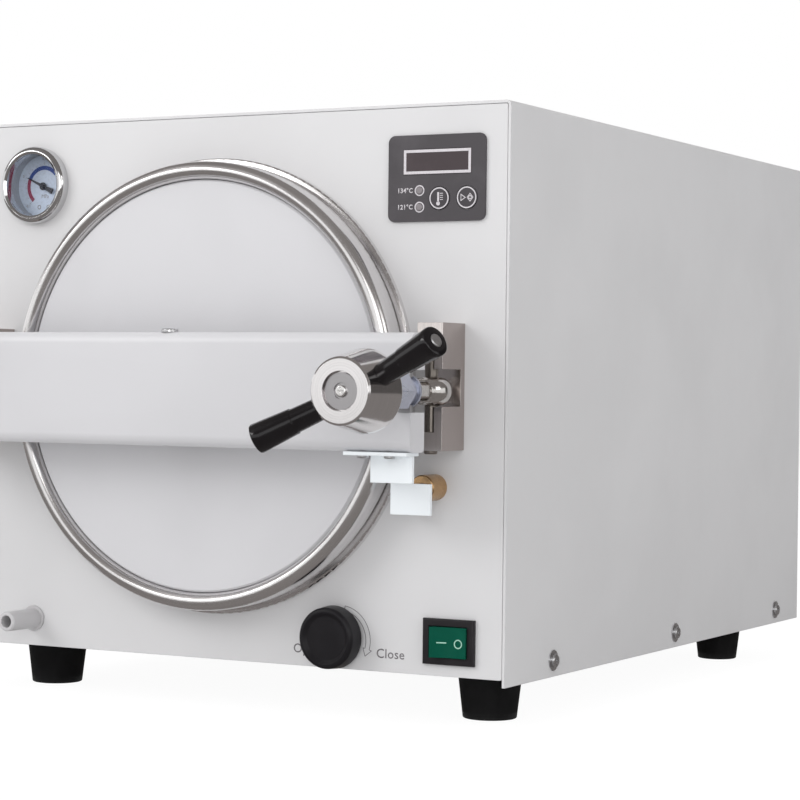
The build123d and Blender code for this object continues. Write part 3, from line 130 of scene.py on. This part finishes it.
class Finish:
    """One procedural material, built up around a principled shader over the object's own coordinates."""

    def __init__(self, name, colour, roughness, metallic=0.0):
        self.material = bpy.data.materials.new(name)
        self.material.use_nodes = True
        self.tree = self.material.node_tree
        self.shader = self.tree.nodes["Principled BSDF"]
        self.set("Base Color", (*colour, 1))
        self.set("Roughness", roughness)
        self.set("Metallic", metallic)
        self.place = self.add("ShaderNodeTexCoord").outputs["Object"]

    def set(self, socket, value):
        """Gives one of the shader's own sockets a plain value."""
        self.shader.inputs[socket].default_value = value
        return self

    def add(self, kind, **settings):
        node = self.tree.nodes.new(kind)
        for key, value in settings.items():
            setattr(node, key, value)
        return node

    def join(self, output, target):
        self.tree.links.new(output, target)

    def stretched(self, scale):
        """The object's coordinates, scaled along each axis."""
        mapping = self.add("ShaderNodeMapping")
        mapping.inputs["Scale"].default_value = scale
        self.join(self.place, mapping.inputs["Vector"])
        return mapping.outputs["Vector"]

    def round_axis(self, axis, across, along):
        """Coordinates that vary with the distance from a front-to-back axis and only a little round it."""
        centre = at(axis[0], 0, axis[1])
        shifted = self.add("ShaderNodeVectorMath", operation="SUBTRACT")
        shifted.inputs[1].default_value = (centre.x, 0, centre.z)
        self.join(self.place, shifted.inputs[0])
        parts = self.add("ShaderNodeSeparateXYZ")
        self.join(shifted.outputs[0], parts.inputs[0])
        flat = self.add("ShaderNodeCombineXYZ")
        self.join(parts.outputs["X"], flat.inputs["X"])
        self.join(parts.outputs["Z"], flat.inputs["Y"])
        length = self.add("ShaderNodeVectorMath", operation="LENGTH")
        self.join(flat.outputs[0], length.inputs[0])
        radius = self.add("ShaderNodeMath", operation="MULTIPLY")
        radius.inputs[1].default_value = across
        self.join(length.outputs["Value"], radius.inputs[0])
        depth = self.add("ShaderNodeMath", operation="MULTIPLY")
        depth.inputs[1].default_value = across
        self.join(parts.outputs["Y"], depth.inputs[0])
        angle = self.add("ShaderNodeMath", operation="MULTIPLY")
        angle.inputs[1].default_value = along
        self.join(parts.outputs["X"], angle.inputs[0])
        out = self.add("ShaderNodeCombineXYZ")
        self.join(radius.outputs[0], out.inputs["X"])
        self.join(depth.outputs[0], out.inputs["Y"])
        self.join(angle.outputs[0], out.inputs["Z"])
        return out.outputs[0]

    def noise(self, scale, detail=3.0, over=None):
        node = self.add("ShaderNodeTexNoise")
        node.inputs["Scale"].default_value = scale
        node.inputs["Detail"].default_value = detail
        self.join(over or self.place, node.inputs["Vector"])
        return node.outputs["Fac"]

    def cells(self, scale, over=None):
        node = self.add("ShaderNodeTexVoronoi")
        node.inputs["Scale"].default_value = scale
        self.join(over or self.place, node.inputs["Vector"])
        return node.outputs["Distance"]

    def ramp(self, value, low, high):
        """value stretched so that low becomes 0 and high becomes 1."""
        node = self.add("ShaderNodeMapRange")
        node.inputs["From Min"].default_value = low
        node.inputs["From Max"].default_value = high
        self.join(value, node.inputs["Value"])
        return node.outputs["Result"]

    def facing(self, axis):
        """1 on faces of the object that look along this axis either way, 0 on the others."""
        parts = self.add("ShaderNodeSeparateXYZ")
        self.join(self.add("ShaderNodeTexCoord").outputs["Normal"], parts.inputs[0])
        size = self.add("ShaderNodeMath", operation="ABSOLUTE")
        self.join(parts.outputs[axis], size.inputs[0])
        return self.ramp(size.outputs[0], 0.6, 0.8)

    def tint(self, mask, colour):
        """Colour moves towards another one where the mask is 1."""
        mix = self.add("ShaderNodeMix", data_type="RGBA")
        self.join(mask, mix.inputs["Factor"])
        base = self.shader.inputs["Base Color"]
        if base.is_linked:
            self.join(base.links[0].from_socket, mix.inputs[6])
        else:
            mix.inputs[6].default_value = base.default_value
        mix.inputs[7].default_value = (*colour, 1)
        self.join(mix.outputs[2], base)
        return self

    def gloss(self, mask, smooth, rough):
        """Roughness goes from smooth to rough as the mask goes from 0 to 1."""
        node = self.add("ShaderNodeMapRange")
        node.inputs["To Min"].default_value = smooth
        node.inputs["To Max"].default_value = rough
        self.join(mask, node.inputs["Value"])
        self.join(node.outputs["Result"], self.shader.inputs["Roughness"])
        return self

    def relief(self, height, depth, edge=0.0):
        """A bump of this depth in millimetres, over edges rounded by edge millimetres."""
        bump = self.add("ShaderNodeBump")
        bump.inputs["Distance"].default_value = depth * MM
        self.join(height, bump.inputs["Height"])
        if edge:
            bevel = self.add("ShaderNodeBevel", samples=4)
            bevel.inputs["Radius"].default_value = edge * MM
            self.join(bevel.outputs[0], bump.inputs["Normal"])
        self.join(bump.outputs[0], self.shader.inputs["Normal"])
        return self


def powder_coat(name, colour, roughness=0.42):
    """Baked powder coat: a fine orange peel and a faint mottle."""
    paint = Finish(name, colour, roughness)
    paint.set("Coat Weight", 0.08).set("Coat Roughness", 0.25).set("Specular IOR Level", 0.4)
    darker = tuple(c * 0.965 for c in colour)
    paint.tint(paint.ramp(paint.noise(9, 2), 0.42, 0.6), darker)
    paint.gloss(paint.ramp(paint.noise(60, 3), 0.3, 0.7), roughness - 0.05, roughness + 0.06)
    return paint.relief(paint.noise(650, 2), 0.03, edge=0.7)


def brushed(name, colour, roughness, scale, depth=0.006, edge=0.4):
    """Steel brushed one way: scale is how fine the lines are along X, Y and Z."""
    steel = Finish(name, colour, roughness, 1.0)
    lines = steel.noise(1, 4, steel.stretched(scale))
    steel.tint(steel.ramp(lines, 0.35, 0.7), tuple(c * 0.86 for c in colour))
    steel.gloss(steel.ramp(steel.noise(30, 3), 0.3, 0.7), roughness - 0.05, roughness + 0.07)
    return steel.relief(lines, depth, edge)


def turned(name, colour, roughness, axis, across=2600, depth=0.004, edge=0.3):
    """Steel turned or spun round a front-to-back axis, with fine concentric lines."""
    steel = Finish(name, colour, roughness, 1.0)
    lines = steel.noise(1, 3, steel.round_axis(axis, across, 6))
    steel.tint(steel.ramp(lines, 0.4, 0.75), tuple(c * 0.9 for c in colour))
    steel.gloss(steel.ramp(steel.noise(25, 3), 0.3, 0.7), roughness * 0.8, roughness * 1.3)
    return steel.relief(lines, depth, edge)


def moulded(name, colour, roughness, grain=900, depth=0.02, coat=0.0, edge=0.3, shine=0.5):
    """Moulded plastic or rubber: a fine grain and uneven gloss."""
    plastic = Finish(name, colour, roughness)
    plastic.set("Specular IOR Level", shine)
    if coat:
        plastic.set("Coat Weight", coat).set("Coat Roughness", 0.06)
    paler = tuple(min(1, c * 1.25 + 0.004) for c in colour)
    plastic.tint(plastic.ramp(plastic.noise(40, 4), 0.45, 0.75), paler)
    plastic.gloss(plastic.ramp(plastic.noise(90, 3), 0.3, 0.7), roughness - 0.04, roughness + 0.06)
    return plastic.relief(plastic.noise(grain, 2), depth, edge)


def printed(name, colour):
    """Screen-printed ink: matt, with a slightly uneven edge of tone."""
    ink = Finish(name, colour, 0.55)
    ink.tint(ink.ramp(ink.noise(500, 2), 0.45, 0.7), tuple(c * 0.88 for c in colour))
    return ink.relief(ink.noise(1500, 2), 0.004)


def clear(name, colour, roughness=0.02):
    """Glass that lets light through to what is behind it, with faint smears."""
    glass = Finish(name, colour, roughness)
    glass.set("Transmission Weight", 1.0).set("IOR", 1.1)
    glass.gloss(glass.ramp(glass.noise(70, 3), 0.4, 0.8), roughness, roughness + 0.05)
    path = glass.add("ShaderNodeLightPath")
    through = glass.add("ShaderNodeBsdfTransparent")
    mix = glass.add("ShaderNodeMixShader")
    output = glass.tree.nodes["Material Output"]
    glass.join(path.outputs["Is Shadow Ray"], mix.inputs[0])
    glass.join(glass.shader.outputs[0], mix.inputs[1])
    glass.join(through.outputs[0], mix.inputs[2])
    glass.join(mix.outputs[0], output.inputs["Surface"])
    return glass


def mineral_wool(name):
    wool = Finish(name, (0.62, 0.55, 0.33), 0.95)
    fibres = wool.noise(900, 6, wool.stretched((1, 0.35, 1)))
    wool.tint(wool.ramp(fibres, 0.35, 0.7), (0.78, 0.72, 0.5))
    wool.tint(wool.ramp(wool.noise(25, 4), 0.5, 0.8), (0.42, 0.36, 0.2))
    wool.set("Sheen Weight", 0.4)
    return wool.relief(fibres, 0.8)


def cast_core(name):
    """The transformer: varnished laminations, dark and slightly glossy."""
    core = Finish(name, (0.06, 0.055, 0.05), 0.5, 0.3)
    layers = core.noise(1, 1, core.stretched((1800, 2, 2)))
    core.tint(core.ramp(layers, 0.4, 0.6), (0.14, 0.12, 0.1))
    return core.relief(layers, 0.15)


def circuit_board(name):
    board = Finish(name, (0.02, 0.14, 0.06), 0.35)
    tracks = board.cells(240)
    board.tint(board.ramp(tracks, 0.05, 0.12), (0.03, 0.2, 0.09))
    board.set("Coat Weight", 0.4)
    return board.relief(tracks, 0.03)


body_paint = powder_coat("housing_paint", (0.70, 0.695, 0.705))
door_paint = powder_coat("door_paint", (0.66, 0.655, 0.675), 0.34)
bar_paint = powder_coat("bar_paint", (0.63, 0.625, 0.645), 0.38)
catch_paint = powder_coat("catch_paint", (0.90, 0.94, 0.97), 0.35)
stub_paint = powder_coat("stub_paint", (0.56, 0.55, 0.56), 0.45)
foot_rubber = moulded("foot_rubber", (0.008, 0.008, 0.0085), 0.7, grain=500, depth=0.06, shine=0.15)
screw_steel = brushed("screw_steel", (0.62, 0.62, 0.63), 0.28, (900, 900, 900))
inner_steel = turned("chamber_steel", (0.56, 0.555, 0.55), 0.3, DOOR_AXIS, across=900, depth=0.01)
sheet_steel = brushed("sheet_steel", (0.60, 0.60, 0.61), 0.36, (40, 1400, 1400))
tray_steel = brushed("tray_steel", (0.63, 0.63, 0.64), 0.3, (1500, 30, 1500))
rim_steel = turned("rim_steel", (0.80, 0.785, 0.785), 0.19, DOOR_AXIS)
hub_steel = turned("hub_steel", (0.82, 0.80, 0.80), 0.13, HUB_AXIS, across=3200)
disc_steel = turned("disc_steel", (0.50, 0.49, 0.50), 0.36, HUB_AXIS, across=3600)
eye_steel = brushed("eye_steel", (0.70, 0.675, 0.65), 0.16, (500, 500, 500))
# The pins' steel is painted dark brown-grey: painted shade, for the shade the pins stand in between the
# brackets and the bar.
shaded_pin_steel = brushed("shaded_pin_steel", (0.26, 0.235, 0.21), 0.3, (900, 900, 60))
collar_steel = brushed("collar_steel", (0.66, 0.69, 0.80), 0.3, (300, 2000, 300))
bracket_steel = brushed("bracket_steel", (0.82, 0.765, 0.74), 0.2, (2200, 2200, 30))
# The brackets' side faces are painted darker than their fronts, matched to how dark they look: painted
# shade, standing in for the dim reflections on the sides.
bracket_steel.tint(bracket_steel.facing("X"), (0.44, 0.39, 0.37))
bright_screw = brushed("bright_screw", (0.90, 0.89, 0.88), 0.22, (700, 700, 700))
heater_metal = brushed("heater_metal", (0.40, 0.36, 0.32), 0.45, (600, 600, 600))
gland_brass = brushed("gland_brass", (0.58, 0.37, 0.19), 0.25, (900, 900, 900))
gauge_chrome = turned("gauge_chrome", (0.68, 0.68, 0.69), 0.07, GAUGE_AXIS, across=1200, depth=0.001)
gauge_glass = clear("gauge_glass", (0.97, 0.98, 1.0))
dial_card = printed("dial_card", (0.52, 0.59, 0.70))
pointer_paint = moulded("pointer_paint", (0.008, 0.01, 0.02), 0.5)
fascia_film = moulded("fascia_film", (0.082, 0.076, 0.082), 0.45, grain=1400, depth=0.008, shine=0.15)
window_film = moulded("window_film", (0.060, 0.046, 0.050), 0.16, grain=300, depth=0.003, shine=0.3)
lamp_lens = moulded("lamp_lens", (0.22, 0.20, 0.21), 0.22, grain=700, coat=0.6)
key_film = moulded("key_film", (0.070, 0.065, 0.071), 0.42, grain=1400, depth=0.008, shine=0.15)
board_resin = circuit_board("board_resin")
switch_shell = moulded("switch_shell", (0.016, 0.014, 0.016), 0.4, grain=1200, shine=0.25)
rocker_green = moulded("rocker_green", (0.002, 0.075, 0.046), 0.2, grain=300, depth=0.004, shine=0.1)
knob_black = moulded("knob_black", (0.011, 0.010, 0.012), 0.34, grain=700, shine=0.2)
grip_black = moulded("grip_black", (0.004, 0.003, 0.004), 0.13, grain=250, depth=0.006, edge=0.5)
silicone = moulded("silicone", (0.55, 0.52, 0.47), 0.5, grain=500, depth=0.03)
wool = mineral_wool("mineral_wool")
core = cast_core("transformer_core")

node_finishes = {
    body_paint: ["base_tray", "cover_shell", "front_panel", "rear_panel"],
    door_paint: ["door_cover"],
    bar_paint: ["clamp_bar"],
    catch_paint: ["interlock_catch", "interlock_strike"],
    stub_paint: ["drain_spigot"],
    foot_rubber: ["front_feet", "rear_feet"],
    screw_steel: ["foot_screws", "side_screws", "strike_screws", "grip_studs", "door_pivot_pin",
                  "valve_spindle"],
    bright_screw: ["hub_screw"],
    shaded_pin_steel: ["hinge_pin", "latch_pin"],
    inner_steel: ["chamber", "door_lug", "steam_pipe"],
    sheet_steel: ["chamber_saddle", "gauge_case", "nut_keeper"],
    tray_steel: ["tray_rack", "instrument_trays"],
    rim_steel: ["door_plate", "chamber_flange"],
    hub_steel: ["hub_nut"],
    disc_steel: ["hub_disc"],
    eye_steel: ["eye_bolt"],
    collar_steel: ["thrust_collar"],
    bracket_steel: ["hinge_bracket", "latch_bracket"],
    heater_metal: ["heater_band"],
    gland_brass: ["interlock_gland", "interlock_plunger", "exhaust_valve", "safety_valve"],
    gauge_chrome: ["gauge_bezel"],
    gauge_glass: ["gauge_glass"],
    dial_card: ["gauge_dial"],
    pointer_paint: ["gauge_pointer"],
    fascia_film: ["control_panel"],
    window_film: ["display_window"],
    lamp_lens: ["lamp_lenses"],
    key_film: ["temperature_button", "start_button"],
    board_resin: ["control_board"],
    switch_shell: ["switch_bezel", "thermal_cutout", "mains_inlet"],
    rocker_green: ["power_rocker"],
    knob_black: ["exhaust_knob"],
    grip_black: ["handle_grips"],
    silicone: ["door_gasket"],
    wool: ["insulation_jacket"],
    core: ["transformer"],
}


def dress_nodes():
    """Gives every solid its finish, and smooth shading up to its real edges."""
    for finish, names in node_finishes.items():
        for name in names:
            solid = nodes[name]
            solid.data.materials.clear()
            solid.data.materials.append(finish.material)
            for face in solid.data.polygons:
                face.use_smooth = True
            weld = solid.modifiers.new("weld", "WELD")
            weld.merge_threshold = 1e-6
            split = solid.modifiers.new("edges", "EDGE_SPLIT")
            split.split_angle = math.radians(SHARP_EDGE)


# Printed marks


class Print:
    """Ink shapes on a face that looks forward: points are x and z of the drawing, laid onto the carrier."""

    def __init__(self, name, carrier, ink, slot):
        self.name, self.carrier, self.ink, self.slot = name, carrier, ink, slot
        self.mesh = bmesh.new()

    def polygon(self, points):
        """A flat patch inside the points."""
        self.mesh.faces.new([self.mesh.verts.new((x, 0, z)) for x, z in points])

    def strip(self, inner, outer):
        """A band between two lines of points."""
        a = [self.mesh.verts.new((x, 0, z)) for x, z in inner]
        b = [self.mesh.verts.new((x, 0, z)) for x, z in outer]
        for i in range(len(a) - 1):
            self.mesh.faces.new((a[i], b[i], b[i + 1], a[i + 1]))

    def ring(self, centre, inner, outer, start=0, end=360):
        """A ring between two radii, or a part of one from angle start to angle end."""
        steps = max(8, int(abs(end - start) / 6))
        angles = [math.radians(start + (end - start) * i / steps) for i in range(steps + 1)]
        self.strip(*([(centre[0] + r * math.cos(a), centre[1] + r * math.sin(a)) for a in angles]
                     for r in (inner, outer)))

    def line(self, start, end, width):
        """A straight stroke."""
        a, b = Vector(start), Vector(end)
        side = (b - a).normalized().orthogonal() * width / 2
        self.polygon([a + side, a - side, b - side, b + side])

    def outline(self, points, width):
        """A closed line inside the corners given."""
        ring = [Vector(p) for p in points]
        count = len(ring)
        inner = []
        for i, corner in enumerate(ring):
            a = (ring[i - 1] - corner).normalized()
            b = (ring[(i + 1) % count] - corner).normalized()
            half = math.acos(max(-1, min(1, a.dot(b)))) / 2
            inner.append(corner + (a + b).normalized() * width / math.sin(half))
        self.strip(inner + inner[:1], ring + ring[:1])

    def words(self, text, centre, height, spacing=1.0, weight=0.0):
        """Lettering with capitals this high; weight thickens its strokes."""
        curve = bpy.data.curves.new(self.name + "_words", "FONT")
        curve.body = text
        curve.size = height * SIZE_PER_CAPITAL
        curve.space_character = spacing
        curve.offset = weight
        curve.align_x, curve.align_y = "CENTER", "CENTER"
        curve.resolution_u = 3
        holder = put(self.name + "_words", curve)
        flat = bpy.data.meshes.new_from_object(holder)
        flat.transform(Matrix.Translation((centre[0], 0, centre[1])) @ Matrix.Rotation(math.pi / 2, 4, "X"))
        self.mesh.from_mesh(flat)
        bpy.data.objects.remove(holder)
        bpy.data.curves.remove(curve)
        bpy.data.meshes.remove(flat)

    def lay(self):
        """Drops every point back onto the carrier, and makes the piece."""
        solid = nodes[self.carrier]
        tree = BVHTree.FromPolygons([v.co for v in solid.data.vertices],
                                    [p.vertices for p in solid.data.polygons])
        for vertex in self.mesh.verts:
            start = at(vertex.co.x, -200, vertex.co.z)
            hit = tree.ray_cast(start, Vector((0, 1, 0)))[0]
            if hit is None:
                raise ValueError(f"{self.name}: nothing to print on at {tuple(vertex.co)}")
            vertex.co = hit - Vector((0, PRINT_LIFT * MM, 0))
        bmesh.ops.recalc_face_normals(self.mesh, faces=self.mesh.faces)
        for face in self.mesh.faces:
            if face.normal.y > 0:
                face.normal_flip()
        data = bpy.data.meshes.new(self.name)
        self.mesh.to_mesh(data)
        piece = put(self.name, data)
        layer = piece.modifiers.new("sheet", "SOLIDIFY")
        layer.thickness = PRINT_SHEET * MM
        layer.offset = 1
        data.materials.append(self.ink.material)
        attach(piece, solid["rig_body"])
        return piece


pale_ink = printed("pale_ink", (0.66, 0.63, 0.66))
grey_ink = printed("grey_ink", (0.20, 0.19, 0.20))
blue_ink = printed("blue_ink", (0.025, 0.06, 0.26))
red_ink = printed("red_ink", (0.27, 0.035, 0.085))
rocker_ink = printed("rocker_ink", (0.38, 0.66, 0.54))


def print_gauge():
    """The dial's scale: red below zero and blue above, ticks, figures and the unit."""
    middle = Vector(GAUGE_AXIS)
    zero, per_tenth = 157.5, -67.5
    red_end, blue_end, band_outer = 228, 40, 13.7
    tick_start, figure_radius = 14.2, 18.2
    blue = Print("gauge_scale_blue", "gauge_dial", blue_ink, "dial_print")
    blue.ring(middle, 11.0, band_outer, zero, blue_end)
    blue.lay()
    red = Print("gauge_scale_red", "gauge_dial", red_ink, "dial_print")
    red.ring(middle, 11.1, band_outer, zero, red_end)
    red.lay()
    marks = Print("gauge_marks", "gauge_dial", grey_ink, "dial_print")
    for step in range(-5, 16):
        length = 1.9 if step % 5 == 0 else 1.0
        way = toward(zero + per_tenth * step / 5)
        marks.line(middle + way * tick_start, middle + way * (tick_start + length), 0.22)
    for step, figure in enumerate(("-0.1", "0", "0.1", "0.2", "0.3")):
        marks.words(figure, middle + toward(zero + per_tenth * (step - 1)) * figure_radius, 1.9)
    marks.words("MPa", middle + Vector((1.0, -6.6)), 2.6)
    for side in (-3.7, 3.7):
        marks.ring(middle + Vector((side, -13.7)), 0.95, 1.45)
    marks.lay()


def print_controls():
    """The fascia's marks: window frame, lamp rings, temperatures, and the two keys' symbols."""
    marks = Print("fascia_marks", "control_panel", pale_ink, "fascia_film")
    lamp_x, words_x = 149.8, 139.9
    for z, words in ((297.4, "134°C"), (287.4, "121°C")):
        marks.ring((lamp_x, z), 2.55, 3.3)
        marks.words(words, (words_x, z), 2.9, 1.05, weight=0.11)
    marks.lay()

    window = Print("window_frame", "display_window", pale_ink, "window_film")
    left, right, low, high = 138.95, 184.55, 307.35, 322.05
    window.outline([(left, low), (right, low), (right, high), (left, high)], 1.7)
    window.lay()

    keys_z, key_ring = 292.5, (5.75, 6.5)
    x, z = 163.4, keys_z
    warm = Print("temperature_mark", "temperature_button", pale_ink, "button_film")
    warm.ring((x, z), *key_ring)
    warm.line((x - 0.6, z - 2.4), (x - 0.6, z + 3.6), 1.3)
    warm.ring((x - 0.6, z - 3.2), 0, 1.25)
    for rung in range(4):
        rung_z = z - 0.9 + rung * 1.25
        warm.line((x + 0.6, rung_z), (x + 2.6, rung_z), 0.4)
    warm.lay()

    x, z = 182.0, keys_z
    run = Print("start_mark", "start_button", pale_ink, "button_film")
    run.ring((x, z), *key_ring)
    run.outline([(x - 4.0, z - 2.3), (x - 0.5, z), (x - 4.0, z + 2.3)], 0.45)
    run.outline([(x + 0.1, z), (x + 2.3, z - 2.7), (x + 4.5, z), (x + 2.3, z + 2.7)], 0.45)
    run.ring((x + 2.3, z), 0.7, 1.15)
    run.lay()


def print_valve():
    """Round the exhaust knob: a curved arrow and its two words."""
    marks = Print("valve_marks", "front_panel", grey_ink, "housing_paint")
    for words, place in (("Open", (73.2, 14.9)), ("Close", (132.5, 15.3))):
        marks.words(words, place, 5.9, 1.05, weight=0.05)
    middle = Vector(ARROW_CENTRE)
    inner, outer, line = 17.6, 20.7, 0.45
    tail, head = 82, -15
    for radius in (inner, outer):
        marks.ring(middle, radius, radius + line, tail, head)
    way = toward(tail)
    marks.line(middle + way * inner, middle + way * (outer + line), line)
    way = toward(head)
    onward = Vector((way.y, -way.x))
    barbs = [middle + way * (inner - 1.2), middle + way * (outer + 1.9)]
    tip = middle + way * (inner + outer) / 2 + onward * 4.6
    for barb, root in zip(barbs, (inner, outer + line)):
        marks.line(barb, tip, line)
        marks.line(barb, middle + way * root, line)
    marks.lay()


def print_switch():
    """The rocker's two marks."""
    x, z = 173.1, 25.4
    marks = Print("switch_marks", "power_rocker", rocker_ink, "rocker_plastic")
    marks.line((x - 5.8, z - 0.1), (x, z - 0.1), 0.7)
    marks.ring((x + 7.9, z - 0.5), 2.1, 2.8)
    marks.lay()


# Stage, light and camera


def glow_material(name, colour):
    """A surface that shows one plain colour."""
    made = bpy.data.materials.new(name)
    made.use_nodes = True
    tree = made.node_tree
    tree.nodes.clear()
    glow = tree.nodes.new("ShaderNodeEmission")
    glow.inputs["Color"].default_value = (*colour, 1)
    output = tree.nodes.new("ShaderNodeOutputMaterial")
    tree.links.new(glow.outputs[0], output.inputs["Surface"])
    return made


def floor_material(name, grey, shown, strength):
    """Diffuse for the light, and nearly plain white where the camera or a reflection sees it."""
    made = glow_material(name, (1, 1, 1))
    tree = made.node_tree
    glow, output = tree.nodes["Emission"], tree.nodes["Material Output"]
    glow.inputs["Strength"].default_value = strength
    diffuse = tree.nodes.new("ShaderNodeBsdfDiffuse")
    diffuse.inputs["Color"].default_value = (grey, grey, grey, 1)
    share = tree.nodes.new("ShaderNodeMath")
    share.operation = "MULTIPLY"
    share.inputs[1].default_value = shown
    tree.links.new(seen_directly(tree), share.inputs[0])
    mix = tree.nodes.new("ShaderNodeMixShader")
    tree.links.new(share.outputs[0], mix.inputs[0])
    tree.links.new(diffuse.outputs[0], mix.inputs[1])
    tree.links.new(glow.outputs[0], mix.inputs[2])
    tree.links.new(mix.outputs[0], output.inputs["Surface"])
    return made


def sheet(name, corners, material):
    """One flat face of the stage, in metres."""
    mesh = bpy.data.meshes.new(name)
    mesh.from_pydata(corners, [], [tuple(range(len(corners)))])
    piece = put(name, mesh)
    mesh.materials.append(material)
    return piece


def level_square(half, height):
    return [(-half, -half, height), (half, -half, height), (half, half, height), (-half, half, height)]


def build_stage():
    """The floor, and grey flags that only reflections see: they keep polished steel from looking flat."""
    sheet("floor", level_square(FLOOR_HALF, 0), floor_material("floor_white", 0.82, 0.88, 1.08))
    near, far = (3.4, 1.2), (1.0, 2.6)
    flags = {
        "flag_above": (0.22, level_square(FLAG_HALF, FLAG_TOP)),
        "flag_below": (0.22, level_square(FLAG_HALF, 0.004)),
        "flag_behind": (0.09, [(*far, 0), (*near, 0), (*near, FLAG_TOP), (*far, FLAG_TOP)]),
    }
    for name, (tone, corners) in flags.items():
        flag = sheet(name, corners, glow_material(name, (tone, tone * 0.93, tone * 0.9)))
        flag.visible_camera = flag.visible_diffuse = flag.visible_shadow = False


def build_world():
    """White all round: dimmer where it lights the object than where it is seen."""
    world = bpy.data.worlds.new("studio")
    bpy.context.scene.world = world
    world.use_nodes = True
    tree = world.node_tree
    background = tree.nodes["Background"]
    background.inputs["Color"].default_value = (1, 1, 1, 1)
    level = tree.nodes.new("ShaderNodeMapRange")
    level.inputs["To Min"].default_value = WORLD_LIGHT
    level.inputs["To Max"].default_value = WORLD_SEEN
    tree.links.new(seen_directly(tree), level.inputs["Value"])
    tree.links.new(level.outputs["Result"], background.inputs["Strength"])


def light_scene():
    """Four large soft lamps, all aimed at the object's middle."""
    lamps = (
        # name, place, width and height in metres, power in watts
        ("key_left", (-1.6, -1.9, 1.5), (1.4, 1.4), 23),
        ("fill_front", (0.9, -2.4, 0.9), (1.2, 1.6), 11),
        ("rim_right", (2.0, -1.0, 1.2), (1.0, 1.6), 8.4),
        ("top", (0.1, -0.4, 2.1), (1.8, 1.8), 10),
    )
    for name, place, size, power in lamps:
        lamp = bpy.data.lights.new(name, "AREA")
        lamp.shape = "RECTANGLE"
        lamp.size, lamp.size_y = size
        lamp.energy = power
        holder = put(name, lamp)
        holder.location = place
        holder.rotation_euler = (Vector(LIGHT_AIM) - Vector(place)).to_track_quat("-Z", "Y").to_euler()


def place_camera():
    """The camera from its fitted place and angles: yaw to the left, pitch up, roll."""
    yaw, pitch, roll = (math.radians(a) for a in (CAMERA_YAW, CAMERA_PITCH, CAMERA_ROLL))
    forward = Vector((-math.sin(yaw) * math.cos(pitch), math.cos(yaw) * math.cos(pitch), math.sin(pitch)))
    level = Vector((math.cos(yaw), math.sin(yaw), 0))
    upright = level.cross(forward)
    right = level * math.cos(roll) + upright * math.sin(roll)
    up = upright * math.cos(roll) - level * math.sin(roll)
    data = bpy.data.cameras.new("camera")
    data.lens = CAMERA_LENS
    data.sensor_width = CAMERA_SENSOR
    data.clip_start, data.clip_end = 0.05, 50
    camera = put("camera", data)
    turn = Matrix((right, up, -forward)).transposed()
    camera.matrix_world = Matrix.Translation(at(*CAMERA_PLACE)) @ turn.to_4x4()
    bpy.context.scene.camera = camera


dress_nodes()
print_gauge()
print_controls()
print_valve()
print_switch()
build_stage()
build_world()
light_scene()
place_camera()
bpy.context.scene.view_settings.view_transform = "Standard"
